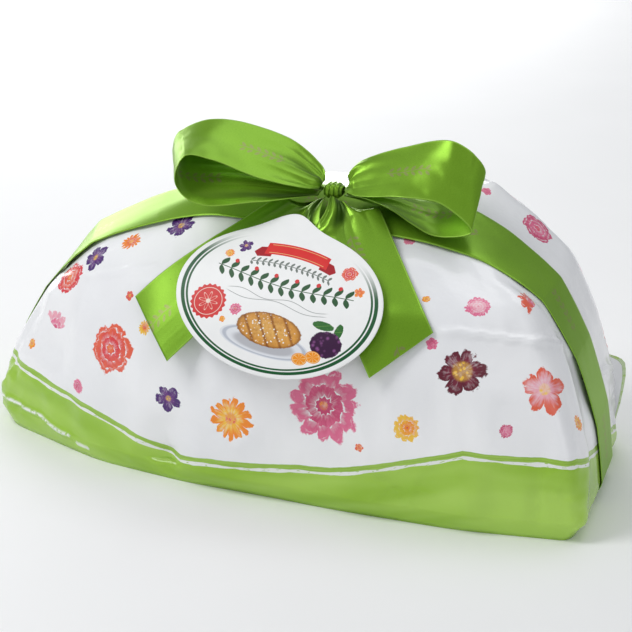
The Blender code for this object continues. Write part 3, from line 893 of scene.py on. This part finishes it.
def border_lines(foot):
    """Return the height of the green border at each point of the foot, and the way round."""
    border = [fold[6] for fold in WRAP_FOLDS]
    heights, runs = [], [0.0]
    for j in range(len(foot)):
        fold, share = j // WRAP_STEPS_AROUND, j / WRAP_STEPS_AROUND - j // WRAP_STEPS_AROUND
        heights.append(border[fold] + (border[(fold + 1) % len(border)] - border[fold]) * share)
        runs.append(runs[-1] + float(np.linalg.norm(foot[(j + 1) % len(foot)] - foot[j])))
    return np.array(heights), np.array(runs[:-1])


def make_wrap(material):
    """The film: the folds of the plan with creases, crumpled corners and soft swells."""
    rings = np.array([[tuple(point) for point in ring] for ring in wrap_rings()])
    rise, wear_and_highlight = wrap_relief(rings)
    rings = rings + ring_normals(rings) * rise[:, :, None]
    rings[:, :, 2] = np.maximum(rings[:, :, 2], 0.0)

    # The channel in the base, in which the ribbon runs
    beside = np.abs(rings[:, :, 1] - CHANNEL_CENTRE)
    channel = soft(CHANNEL_HALF_WIDTH - beside, 0.0, CHANNEL_SIDE)
    channel = channel * (1 - soft(rings[:, :, 2], *CHANNEL_HEIGHTS))
    rings[:, :, 2] += CHANNEL_DEPTH * channel

    rows, around = rings.shape[:2]
    points = [tuple(p) for p in rings.reshape(-1, 3)]
    faces = grid_faces(rows, around, closed=True)
    bottom, top, last = len(points), len(points) + 1, (rows - 1) * around
    points += [(0.0, 0.0, CHANNEL_DEPTH), tuple(rings[-1].mean(axis=0))]
    for j in range(around):
        k = (j + 1) % around
        faces += [(bottom, k, j), (top, last + j, last + k)]
    flap = np.array(film_flap())
    faces += grid_faces(*flap.shape[:2], first=len(points))
    points += [tuple(p) for p in flap.reshape(-1, 3)]
    item = new_object("wrap_film", points, faces, material)

    # Each attribute: its values on the rings, on the middles of base and top, and on the flap
    heights, runs = border_lines(rings[FOOT_RING])
    rim = np.zeros(flap.shape[:2], bool)
    rim[:, -FLAP_RIM_COLUMNS:] = True
    for name, values, middles, on_flap in (
        ("border_depth", heights - rings[:, :, 2], BORDER_AT_MIDDLES, np.where(rim, *FLAP_BORDER)),
        ("border_run", np.broadcast_to(runs, (rows, around)), (0.0, 0.0), np.zeros(rim.shape)),
        # Whitening: wear and painted highlight
        ("wear_and_highlight", wear_and_highlight, (0.0, 0.0), np.where(rim, FLAP_RIM_WEAR_HIGHLIGHT, 0.0)),
    ):
        add_attribute(item.data, name, np.concatenate([values.ravel(), middles, on_flap.ravel()]))

    flowers = list(FRONT_FLOWERS)
    flowers += scattered_flowers(rings[PLAIN_RINGS:], flowers)
    place_flowers(item, points, flowers)
    return item


def film_flap():
    """Return the rows of the loose film that stands out at the rear right corner."""
    inner = [Vector(p) for p in FLAP_INNER]
    outer = [Vector(p) for p in FLAP_OUTER]
    rows = []
    for i in range(FLAP_STEPS + 1):
        start, end = smooth_path(inner, i / FLAP_STEPS), smooth_path(outer, i / FLAP_STEPS)
        row = []
        for j in range(FLAP_STEPS + 1):
            place = start.lerp(end, j / FLAP_STEPS)
            row.append(tuple(place + Vector((0.0, waves(place, FLAP_WAVES), 0.0))))
        rows.append(row)
    return rows


def scattered_flowers(rings, taken):
    """Return more flowers for the sides that the front's list leaves bare."""
    rows, around = rings.shape[:2]
    found = []
    for _ in range(SCATTER_TRIES):
        kind, sizes, *pigments = SCATTER_KINDS[RNG.randrange(len(SCATTER_KINDS))]
        radius = RNG.uniform(*sizes)
        x, y, z = spot = rings[RNG.randrange(SCATTER_FIRST_RING, rows), RNG.randrange(around)]
        turn = RNG.uniform(0, 360)

        # The front and both ends, as far as the photo shows them, have their own list
        front = y < -20 or (x > 100 and y < 50) or (x < -100 and y < 0)
        if front or z < SCATTER_LOWEST + radius:
            continue
        room = SCATTER_GAP + 0.35 * radius
        if all(math.dist(spot, other[1]) > radius + other[2] + room for other in taken + found):
            found.append((kind, tuple(spot), radius, turn, *pigments))
    return found


def ribbon_object(name, grid, material, painted_shade):
    """Make a ribbon from rows of points across it, and return it and its length."""
    grid = np.array([[tuple(p) for p in row] for row in grid])
    rows, columns = grid.shape[:2]
    steps = np.linalg.norm(np.diff(grid[:, columns // 2], axis=0), axis=1)
    along = np.concatenate([[0.0], np.cumsum(steps)]) / RIBBON_WIDTH
    item = new_object(name, grid.reshape(-1, 3), grid_faces(rows, columns), material)
    layer = item.data.uv_layers.new(name="ribbon_uv")
    for loop in item.data.loops:
        row, column = divmod(loop.vertex_index, columns)
        layer.data[loop.index].uv = (column / (columns - 1), along[row])

    # Painted shade: how dark the folds and the places round the knot are painted
    add_attribute(item.data, "painted_shade", np.clip(np.array(painted_shade), 0.0, DARKEST_PAINTED_SHADE))
    thick = item.modifiers.new("thickness", "SOLIDIFY")
    thick.thickness = RIBBON_THICKNESS * MM
    thick.offset = 0.0
    return item, float(along[-1] * RIBBON_WIDTH)


def convex_outline(points):
    """Return the convex outline of flat points, counter-clockwise."""
    points = sorted(points)

    def half(run):
        chain = []
        for p in run:
            while len(chain) > 1:
                a, b = chain[-2], chain[-1]
                if (b[0] - a[0]) * (p[1] - a[1]) - (b[1] - a[1]) * (p[0] - a[0]) > 0:
                    break
                chain.pop()
            chain.append(p)
        return chain[:-1]

    return half(points) + half(points[::-1])


def ribbon_shift(angle):
    """Return how far back the ribbon lies: not at all at the top, most at the left."""
    below = 1 - max(0.0, math.sin(angle)) ** 2
    return (RIBBON_SHIFT - RIBBON_SKEW * math.cos(angle)) * below


def taut_outline(tree, y):
    """Return the outline of a thread pulled taut round the pack, at one place across the ribbon."""
    samples = []
    for ray in range(RIBBON_RAYS):
        angle = math.radians(ray * 360 / RIBBON_RAYS)
        direction = Vector((math.cos(angle), 0.0, math.sin(angle)))
        hub = Vector((0.0, y + ribbon_shift(angle), RIBBON_HUB_HEIGHT))
        hit = tree.ray_cast(hub + direction * BEYOND, -direction)[0]
        samples.append((hit.x, hit.z))
    return convex_outline(samples)


def station_angles(outline):
    """Return the hub angles of the stations, closest together where the outline turns most."""
    count = len(outline)
    marks = [0.0]
    for i in range(count):
        before, here, after = outline[i - 1], outline[i], outline[(i + 1) % count]
        inward = math.atan2(here[1] - before[1], here[0] - before[0])
        outward = math.atan2(after[1] - here[1], after[0] - here[0])
        turn = (outward - inward) % (2 * math.pi)
        marks.append(marks[-1] + turn / RIBBON_TURN_STEP + math.dist(here, after) / RIBBON_RUN_STEP)
    angles = []
    for station in range(RIBBON_STATIONS):
        mark = marks[-1] * station / RIBBON_STATIONS
        i = max(k for k in range(count) if marks[k] <= mark)
        share = (mark - marks[i]) / (marks[i + 1] - marks[i])
        here, after = outline[i], outline[(i + 1) % count]
        x = here[0] + (after[0] - here[0]) * share
        z = here[1] + (after[1] - here[1]) * share
        angles.append(math.atan2(z - RIBBON_HUB_HEIGHT, x))
    return angles


def point_on_outline(outline, angle, y):
    """Return the outline's point and outward normal at one hub angle."""
    y += ribbon_shift(angle)
    dx, dz = math.cos(angle), math.sin(angle)
    for (x0, z0), (x1, z1) in zip(outline, outline[1:] + outline[:1]):
        ex, ez = x1 - x0, z1 - z0
        cross = dx * ez - dz * ex
        if abs(cross) < 1e-9:
            continue
        reach = (x0 * ez - (z0 - RIBBON_HUB_HEIGHT) * ex) / cross
        share = (x0 * dz - (z0 - RIBBON_HUB_HEIGHT) * dx) / cross
        if reach > 0 and -1e-9 <= share <= 1 + 1e-9:
            normal = Vector((ez, 0.0, -ex)).normalized()
            return Vector((dx * reach, y, RIBBON_HUB_HEIGHT + dz * reach)), normal
    raise ValueError("the hub lies outside the outline")


def make_band(material):
    """The ribbon that runs lengthwise round the pack; its two ends meet under the base."""
    tree = node_tree("wrap")
    edges = [RIBBON_WIDTH * (row / (RIBBON_ROWS - 1) - 0.5) for row in range(RIBBON_ROWS)]
    outlines = [taut_outline(tree, y) for y in edges]
    angles = station_angles(outlines[RIBBON_ROWS // 2])
    start = min(range(len(angles)), key=lambda i: abs(angles[i] + math.pi / 2))
    angles = angles[start:] + angles[:start + 1]
    grid, painted_shade = [], []
    for angle in angles:
        row = []
        for outline, y in zip(outlines, edges):
            place, normal = point_on_outline(outline, angle, y)
            # Painted shadow of the knot on the band round it
            painted_shade.append(1 - soft((place - KNOT_CENTRE + SHADOW_OFFSET).length, *SHADOW_REACH))
            swell = waves(place, RIBBON_WAVES) if place.z > RIBBON_FLAT_BELOW else 0.0
            row.append(place + normal * (RIBBON_LIFT + swell))
        grid.append(row)
    return ribbon_object("ribbon_band_satin", grid, material, painted_shade)


def smooth_path(points, share):
    """Return the point at a share of the way along a smooth curve through the points."""
    position = share * (len(points) - 1)
    index = min(int(position), len(points) - 2)
    u = position - index
    last = len(points) - 1
    before, first, second, after = [points[min(max(index + k, 0), last)] for k in (-1, 0, 1, 2)]
    straight = (second - before) * u
    bent = (before * 2 - first * 5 + second * 4 - after) * u ** 2
    turned = (first * 3 - before - second * 3 + after) * u ** 3
    return (first * 2 + straight + bent + turned) / 2


def lift_clear(point, tree):
    """Lift a point that would sink into what lies under it."""
    top = tree.ray_cast(point + UP * BEYOND, -UP)[0]
    if top is None:
        return point
    return Vector((point.x, point.y, max(point.z, top.z + LOOP_CLEARANCE)))


def fold_height(v, phase):
    """Return the height of the pleats at a place across the ribbon: round backs, sharp valleys."""
    broad = abs(math.sin(1.7 * math.pi * v + phase)) - 0.64
    narrow = abs(math.sin(4.2 * math.pi * v + 1.7 * phase + 0.6)) - 0.64
    return 0.9 * broad + 0.28 * narrow


def make_loop(name, tree, material):
    """One loop of the bow: it opens from the knot and returns, with pleats at the knot."""
    far = [Vector(station[0]) for station in LOOPS[name]]
    near = [Vector(station[1]) for station in LOOPS[name]]
    right = far[1].x > KNOT_CENTRE.x
    step = 1 / LOOP_STATIONS

    def middle(share):
        share = min(max(share, 0.0), 1.0)
        return smooth_path(far, share).lerp(smooth_path(near, share), 0.5)

    grid, painted_shade = [], []
    for station in range(LOOP_STATIONS + 1):
        share = station * step
        start, end = smooth_path(near, share), smooth_path(far, share)
        tangent = middle(share + step) - middle(share - step)
        outward = tangent.cross(end - start).normalized()
        from_knot = min(share, 1 - share)
        phase = PLEAT_PHASES[share >= 0.5] + (PLEAT_RIGHT_PHASE if right else 0.0)
        width = (end - start).length
        gathered = max(0.0, (RIBBON_WIDTH - width) / (RIBBON_WIDTH - GATHERED_WIDTH))
        reach = float(1 - soft(from_knot, 0.05, PLEAT_REACH))
        clear = float(soft(from_knot, 0.0, LOOP_KNOT_SHARE))
        height = PLEAT_GATHERED * gathered
        height += PLEAT_AT_KNOT * reach * clear
        height *= PLEAT_SMOOTH_RUN if right and share < 0.5 else 1.0
        roll = float(soft(share, *ROLL_RISE) * (1 - soft(share, *ROLL_FALL))) if right else 0.0
        row = []
        for column in range(LOOP_ROWS):
            v = column / (LOOP_ROWS - 1)
            pleat = height * fold_height(v + 0.05 * math.sin(9.0 * share), phase)
            pleat += roll * ROLL_HEIGHT * math.exp(-((v - ROLL_PLACE) / ROLL_WIDTH) ** 2)
            place = lift_clear(start.lerp(end, v), tree)
            swell = 0.9 * noise.noise(Vector((v * 1.6, share * 9.0, phase)))
            swell += 0.25 * noise.noise(Vector((v * 5.0, share * 26.0, phase)))
            row.append(place + outward * (pleat + swell * clear))
            # Painted shade: darker in the pleats' valleys and towards the knot
            valley = -fold_height(v, phase) * height * 0.45
            painted_shade.append(valley + 0.55 * (1 - clear))
        grid.append(row)
    return ribbon_object(name + "_satin", grid, material, painted_shade)


def slope_frame():
    """Return the directions down the front slope and out of it."""
    outward = Vector((0.0, -math.cos(TAG_LEAN), math.sin(TAG_LEAN)))
    down = Vector((0.0, -math.sin(TAG_LEAN), -math.cos(TAG_LEAN)))
    return down, outward


def make_tail(name, tree, material):
    """One tail of the bow, gathered at the knot and laid over the front of the pack."""
    down, outward = slope_frame()
    first, second = TAILS[name]
    side = 1 if first[0] > 0 else -1
    knot = KNOT_CENTRE - outward * TAIL_SINK
    start = knot + down * (KNOT_SIZE[1] / 2 + TAIL_KNOT_GAP)
    foot = start.copy()
    start.x += TAIL_SIDE_STEP * side
    ends = [knot + Vector((x, 0.0, 0.0)) - down * y for x, y in (first, second)]
    middle = ends[0].lerp(ends[1], 0.5)
    half = (ends[1] - ends[0]) / 2
    places, painted_shade = [], []
    heights = np.zeros((TAIL_STATIONS + 1, TAIL_ROWS))
    for station in range(TAIL_STATIONS + 1):
        t = station / TAIL_STATIONS
        opened = min(1.0, TAIL_START + t * TAIL_SPREAD)
        across = Vector((half.length, 0.0, 0.0)).lerp(half, min(1.0, t / TAIL_TURN_SHARE))
        for column in range(TAIL_ROWS):
            v = 2 * column / (TAIL_ROWS - 1) - 1
            place = start.lerp(middle, t) + across * (v * opened)
            drop = (place - foot).dot(down) / HOLLOW_LENGTH
            arch = max(0.0, math.sin(math.pi * min(max(drop + 0.15, 0.0), 1.0))) ** 0.8
            hollow = HOLLOW_HALF_WIDTH * arch
            aside = side * (place.x - foot.x)
            if aside < HOLLOW_SIDES:
                place.x += side * hollow * (1 - max(aside, 0.0) / HOLLOW_SIDES)
            hit = tree.ray_cast(place + outward * BEYOND, -outward)[0]
            heights[station, column] = (hit - place).dot(outward)
            lip = HOLLOW_LIP * hollow / HOLLOW_HALF_WIDTH * math.exp(-((aside - 3.0) / 4.5) ** 2)
            gather = TAIL_PLEAT_GATHERED * (1 - opened)
            gather += TAIL_PLEAT_AT_KNOT * float(1 - soft(t, 0.04, TAIL_PLEAT_REACH))
            fold = fold_height(0.5 * v + 0.5, TAIL_PHASE * side)
            pleat = gather * (0.7 + fold)
            swell = 0.35 + 0.45 * noise.noise(Vector((v * 1.4, t * 5.0, side * 7.0)))
            places.append((place, lip + pleat + swell))
            # Painted shade: darker along the hollow, at the knot and in the pleats' valleys
            beside = math.exp(-(max(aside - hollow, 0.0) / 3.0) ** 2) * hollow
            beside = 0.6 * (beside / HOLLOW_HALF_WIDTH + float(1 - soft(t, 0.0, 0.07)))
            painted_shade.append(beside - 0.4 * gather * fold)

    # The ribbon bridges the steps under it with a gentle slope
    fall = TAIL_BRIDGE_SLOPE * (middle - start).length / TAIL_STATIONS
    for _ in range(TAIL_STATIONS):
        heights[1:] = np.maximum(heights[1:], heights[:-1] - fall)
        heights[:-1] = np.maximum(heights[:-1], heights[1:] - fall)
    for _ in range(TAIL_SMOOTHING):
        heights[1:-1] = (heights[:-2] + 2 * heights[1:-1] + heights[2:]) / 4
    grid = []
    for station in range(TAIL_STATIONS + 1):
        row = []
        for column in range(TAIL_ROWS):
            place, extra = places[station * TAIL_ROWS + column]
            row.append(place + outward * (heights[station, column] + TAIL_LIFT + extra))
        grid.append(row)
    return ribbon_object(name + "_satin", grid, material, painted_shade)


def make_knot(material):
    """The knot: a short gathered band of ribbon with pleats that run round it."""
    half = [size / 2 for size in KNOT_SIZE]
    (broad, broad_pace), (fine, fine_pace) = KNOT_PLEATS
    grid, painted_shade = [], []
    for i in range(KNOT_SEGMENTS + 1):
        turn = 2 * math.pi * i / KNOT_SEGMENTS
        square = (abs(math.cos(turn)) ** 3 + abs(math.sin(turn)) ** 3) ** (-1 / 3)
        row = []
        for j in range(KNOT_ROWS):
            s = 2 * j / (KNOT_ROWS - 1) - 1
            bulge = (1 - 0.72 * abs(s) ** 3.2) ** 0.5
            pleat = broad * math.cos(broad_pace * s + 0.7 * math.sin(turn))
            pleat += fine * math.cos(fine_pace * s + turn)
            across = 0.93 * bulge + pleat * (1 - 0.4 * abs(s))
            # Painted shade: darker in the pleats' valleys and towards both ends of the knot
            painted_shade.append(-pleat * KNOT_PAINTED_SHADE + 0.5 * s ** 4)
            y = half[1] * across * square * math.cos(turn)
            z = half[2] * across * square * math.sin(turn)
            row.append(KNOT_CENTRE + Vector((s * half[0] * 0.97, y * KNOT_INSET, z * KNOT_INSET)))
        grid.append(row)
    return ribbon_object("bow_knot_satin", grid, material, painted_shade)


def tag_point(u, v, height):
    """Return the tag's point u across and v up it, bent gently over the shoulder of the pack."""
    down, outward = slope_frame()
    turned_u = u * math.cos(TAG_TURN) - v * math.sin(TAG_TURN)
    turned_v = u * math.sin(TAG_TURN) + v * math.cos(TAG_TURN)
    sag = -(turned_v ** 2) / (2 * TAG_BEND)
    return TAG_CENTRE + Vector((turned_u, 0.0, 0.0)) - down * turned_v + outward * (sag + height)


def tag_outline(angle):
    """Return the tag's edge at one angle, an oval with a bump on its top."""
    bump = TAG_BUMP_HEIGHT * math.exp(-((angle - TAG_BUMP_ANGLE) / TAG_BUMP_SPREAD) ** 2)
    return TAG_HALF_WIDTH * math.cos(angle), TAG_HALF_HEIGHT * math.sin(angle) + bump


def make_tag(material):
    """The card tag, with rounded edges and print coordinates in millimetres."""
    half = TAG_THICKNESS / 2
    levels = [(i / TAG_RINGS, half) for i in range(1, TAG_RINGS)]
    levels += [(share, half * height) for share, height in TAG_RIM]
    levels += [(i / TAG_BACK_RINGS, -half) for i in range(TAG_BACK_RINGS - 1, 0, -1)]
    outline = [tag_outline(2 * math.pi * i / TAG_SEGMENTS) for i in range(TAG_SEGMENTS)]
    spots = [(u * share, v * share, height) for share, height in levels for u, v in outline]
    spots += [(0.0, 0.0, half), (0.0, 0.0, -half)]
    points = [tag_point(*spot) for spot in spots]
    sides = grid_faces(len(levels), TAG_SEGMENTS, closed=True)
    faces = [(a, d, c, b) for a, b, c, d in sides]
    last = (len(levels) - 1) * TAG_SEGMENTS
    for i in range(TAG_SEGMENTS):
        j = (i + 1) % TAG_SEGMENTS
        faces += [(len(points) - 2, i, j), (len(points) - 1, last + j, last + i)]
    item = new_object("tag_card", points, faces, material)
    layer = item.data.uv_layers.new(name="print_uv")
    for loop in item.data.loops:
        layer.data[loop.index].uv = Vector(spots[loop.vertex_index][:2]) / PRINT_UNIT
    flowers = [(kind, tuple(tag_point(*spot, half)), *rest) for kind, spot, *rest in TAG_FLOWERS]
    place_flowers(item, points, flowers)
    return item


def card_material():
    """The printed card: green lines, a banner, leaves, a loaf, fruit and a seal, in millimetres."""
    g = Graph("printed_card")
    u, v, _ = g.split(g.uv("print_uv"))
    u, v = u * PRINT_UNIT, v * PRINT_UNIT
    place = g.vector(u, v)
    fine = g.noise(place, 0.55, 3.0, 0.6) - 0.5
    broad = g.noise(place, 0.12, 2.0) - 0.5

    def oval(across, up, half_width, half_height, wobble=0.0):
        x, y = (u - across) / half_width, (v - up) / half_height
        return (x * x + y * y).sqrt() + fine * wobble

    def line(offset, half_width):
        return offset.size().step(half_width + 0.14, half_width - 0.1)

    def leaves(off, pitch, length, width, reach):
        """Pairs of pointed leaves on a stem that runs across the card."""
        away = off.size()
        cell = ((u / pitch + 0.5).fract() - 0.5) * pitch - away * 0.5 + length * 0.25
        blade = width * (1.0 - ((away / length) * 2.0 - 1.0) ** 2.0).most(0.0)
        whole = ((u / pitch + 0.5).floor() * pitch).size().step(reach, reach - 0.1)
        blades = (cell.size() - blade).step(0.12, -0.12) * away.step(length, length * 0.96)
        return (blades * whole).most(line(off, 0.22) * u.size().step(reach, reach - 0.5))

    g.colour = g.tint((0.87, 0.875, 0.87), (0.93, 0.93, 0.92), broad + 0.5)

    # The two green lines inside the edge, fainter towards the top
    edge = oval(0.0, 0.0, TAG_HALF_WIDTH, TAG_HALF_HEIGHT)
    lines = (edge - 0.935).size().step(0.021, 0.015)
    lines = lines.most((edge - 0.893).size().step(0.013, 0.008))
    g.paint((0.010, 0.095, 0.028), lines * v.step(34.0, 12.0))

    # The banner with its folded ends
    arch = v - 29.0 + u * u * 0.006
    ends = (arch + 2.2).size().step(3.3, 3.05) * (u.size() - 20.0).size().step(5.2, 5.0)
    notch = ((u.size() - 25.2) + (arch + 2.2).size() * 0.9).step(0.3, 0.0)
    g.paint((0.40, 0.012, 0.02), ends * notch)
    banner = arch.size().step(3.9, 3.65) * u.size().step(19.3, 19.0)
    g.paint(g.tint((0.66, 0.025, 0.03), (0.78, 0.05, 0.04), broad + 0.5), banner)
    rule = line(arch.size() - 2.6, 0.12) * banner
    g.paint((0.88, 0.62, 0.28), rule * u.size().step(17.0, 16.7))

    # The garland with berries, a finer one above it and two thin curls under it
    wave = v - 8.5 + (u * 0.06).cos() * 2.0
    g.paint((0.012, 0.085, 0.022), leaves(wave, 6.4, 5.6, 1.75, 42.0))
    berry = ((u / 12.8).fract() - 0.5) * 12.8
    berries = (berry * berry + (wave - 5.4) ** 2.0).sqrt().step(1.35, 1.15)
    g.paint((0.66, 0.03, 0.035), berries * u.size().step(42.0, 41.0))
    upper = v - 19.5 + u * u * 0.004
    g.paint((0.16, 0.19, 0.17), leaves(upper, 3.4, 2.6, 0.8, 24.0))
    for height, pace, turn in ((-1.5, 0.21, 0.0), (-4.0, 0.17, 1.6)):
        curl = line(v - height - (u * pace + turn).sin() * 1.3, 0.16)
        g.paint((0.30, 0.32, 0.31), curl * u.size().step(32.0, 28.0))

    # The plate and the plaited loaf with sugar grains on it
    plate = oval(2.0, -26.5, 27.0, 7.6)
    china = g.tint((0.76, 0.78, 0.82), (0.50, 0.53, 0.60), (plate - 0.90).size().step(0.07, 0.02))
    g.paint(china, plate.step(1.01, 0.99))
    g.paint((0.42, 0.42, 0.45), oval(2.0, -27.3, 20.0, 5.0).step(1.05, 0.8) * 0.8)
    loaf = oval(2.0, -19.0, 19.5, 9.5, 0.10)
    twist = ((u * 0.115 + v * 0.09) + broad * 0.15).fract()
    strand = (twist - 0.5).size().step(0.50, 0.30)
    baked = strand * 0.7 + (fine + broad) * 0.9 + 0.15
    crust = g.tint((0.25, 0.075, 0.012), (0.72, 0.34, 0.065), baked)
    crust = g.tint(crust, (0.86, 0.55, 0.18), (strand * loaf.step(0.9, 0.2)) * (0.4 + fine * 1.6))
    crust = g.tint(crust, (0.20, 0.06, 0.012), loaf.step(0.84, 1.0) * 0.75)
    sugar = g.cells(place, 0.62).step(0.34, 0.24) * g.noise(place, 0.30, 1.0).step(0.40, 0.52)
    crust = g.tint(crust, (0.93, 0.92, 0.88), sugar * loaf.step(0.95, 0.8))
    g.paint(crust, loaf.step(1.01, 0.97))

    # Fruit on the right: a bunch of dark berries with a leaf, and slices of candied orange
    for across, up, half_width, half_height in ((31.0, -8.5, 6.5, 2.5), (40.5, -9.5, 2.4, 4.8)):
        leaf = oval(across, up, half_width, half_height, 0.3)
        vein = line((u - across) * 0.35 - (v - up), 0.1)
        g.paint(g.tint((0.03, 0.15, 0.03), (0.16, 0.34, 0.07), vein + fine), leaf.step(1.0, 0.93))
    bunch = oval(36.0, -18.0, 9.5, 7.5, 0.25)
    grape = g.cells(place, 0.34)
    skin = g.tint((0.26, 0.08, 0.26), (0.045, 0.010, 0.05), grape.step(0.05, 0.48))
    g.paint(skin, bunch.step(1.0, 0.94))
    for across, up in ((24.5, -29.5), (31.5, -26.5)):
        slice_edge = oval(across, up, 4.6, 3.4)
        segment = (g.math("ARCTAN2", v - up, u - across) * 4.0).cos().size().step(0.12, 0.3)
        segment = segment * slice_edge.step(0.84, 0.76)
        flesh = g.tint((0.93, 0.66, 0.30), (0.90, 0.30, 0.02), segment)
        peeled = g.tint(flesh, (0.86, 0.26, 0.01), slice_edge.step(0.86, 0.9))
        g.paint(peeled, slice_edge.step(1.0, 0.95))

    # The scalloped seal on the left
    x, y = u + 38.0, v + 13.0
    radius = (x * x + y * y).sqrt()
    turn = g.math("ARCTAN2", y, x)
    rim = radius - (turn * 20.0).cos() * 0.45
    seal = g.tint((0.60, 0.012, 0.02), (0.74, 0.06, 0.05), broad + fine + 0.5)
    seal = g.tint(seal, (0.90, 0.74, 0.66), line(radius - 8.0, 0.15))
    star = radius - 3.6 - (turn * 8.0).cos() * 1.9
    seal = g.tint(seal, (0.90, 0.72, 0.62), line(star, 0.25).most(radius.step(1.5, 1.2)))
    g.paint(seal, rim.step(10.2, 9.9))

    g.paint(*paint_flowers(g))
    g.link("Base Color", g.colour)
    g.link("Roughness", 0.30 + fine * 0.08)
    g.fixed(Specular_IOR_Level=0.2)
    return g.material


def make_stage():
    """A pale floor, soft light and the camera."""
    g = Graph("pale_floor")
    cloud = g.noise(g.position(), 0.01, 2.0)
    g.link("Base Color", g.tint((0.90, 0.90, 0.90), (0.93, 0.93, 0.93), cloud))
    g.fixed(Roughness=0.8)
    size = FLOOR_HALF_WIDTH
    corners = [(-size, -size, 0.0), (size, -size, 0.0), (size, size, 0.0), (-size, size, 0.0)]
    floor = new_object("floor", corners, [(0, 1, 2, 3)], g.material)

    world = bpy.data.worlds.new("studio")
    bpy.context.scene.world = world
    world.use_nodes = True
    sky = world.node_tree.nodes["Background"]
    sky.inputs[0].default_value = SKY_COLOUR
    sky.inputs[1].default_value = SKY_STRENGTH
    for name, (place, target, size, power) in LIGHTS.items():
        data = bpy.data.lights.new(name, "AREA")
        data.shape = "RECTANGLE"
        data.size, data.size_y = size
        data.energy = power
        item = bpy.data.objects.new(name, data)
        item.location = place
        item.rotation_euler = (Vector(target) - Vector(place)).to_track_quat("-Z", "Y").to_euler()
        bpy.context.collection.objects.link(item)

    data = bpy.data.cameras.new("camera")
    camera = bpy.data.objects.new("camera", data)
    flat = math.cos(CAMERA_ELEVATION)
    x, y = math.sin(CAMERA_AZIMUTH) * flat, -math.cos(CAMERA_AZIMUTH) * flat
    back = Vector((x, y, math.sin(CAMERA_ELEVATION)))
    camera.location = (CAMERA_TARGET + back * CAMERA_DISTANCE) * MM + SHIFT
    camera.rotation_mode = "QUATERNION"
    camera.rotation_quaternion = (-back).to_track_quat("-Z", "Y")
    data.sensor_width = CAMERA_SENSOR
    data.lens = CAMERA_LENS
    bpy.context.collection.objects.link(camera)
    bpy.context.scene.camera = camera
    bpy.context.scene.view_settings.view_transform = "Standard"


def dress(item, node):
    """Let a piece ride on the part's only body and stand for one CAD node."""
    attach(item, "root")
    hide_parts(node)


def main():
    film, satin, card = film_material(), satin_material(), card_material()
    make_stage()
    dress(make_wrap(film), "wrap")

    ground = node_tree("wrap", "ribbon_band")
    over = node_tree("wrap", "ribbon_band", "bow_tail_left", "bow_tail_right")
    pieces = [("ribbon_band", make_band(satin), "stretched", ["wrap_film"])]
    knot = make_knot(satin)[0]
    dress(knot, "bow_knot")
    for name in TAILS:
        pieces.append((name, make_tail(name, ground, satin), "gathered", ["wrap_film"]))
    for name in LOOPS:
        pieces.append((name, make_loop(name, over, satin), "gathered", ["bow_knot_satin"]))
    for node, (item, length), held, rests_on in pieces:
        dress(item, node)
    dress(make_tag(card), "tag")


main()
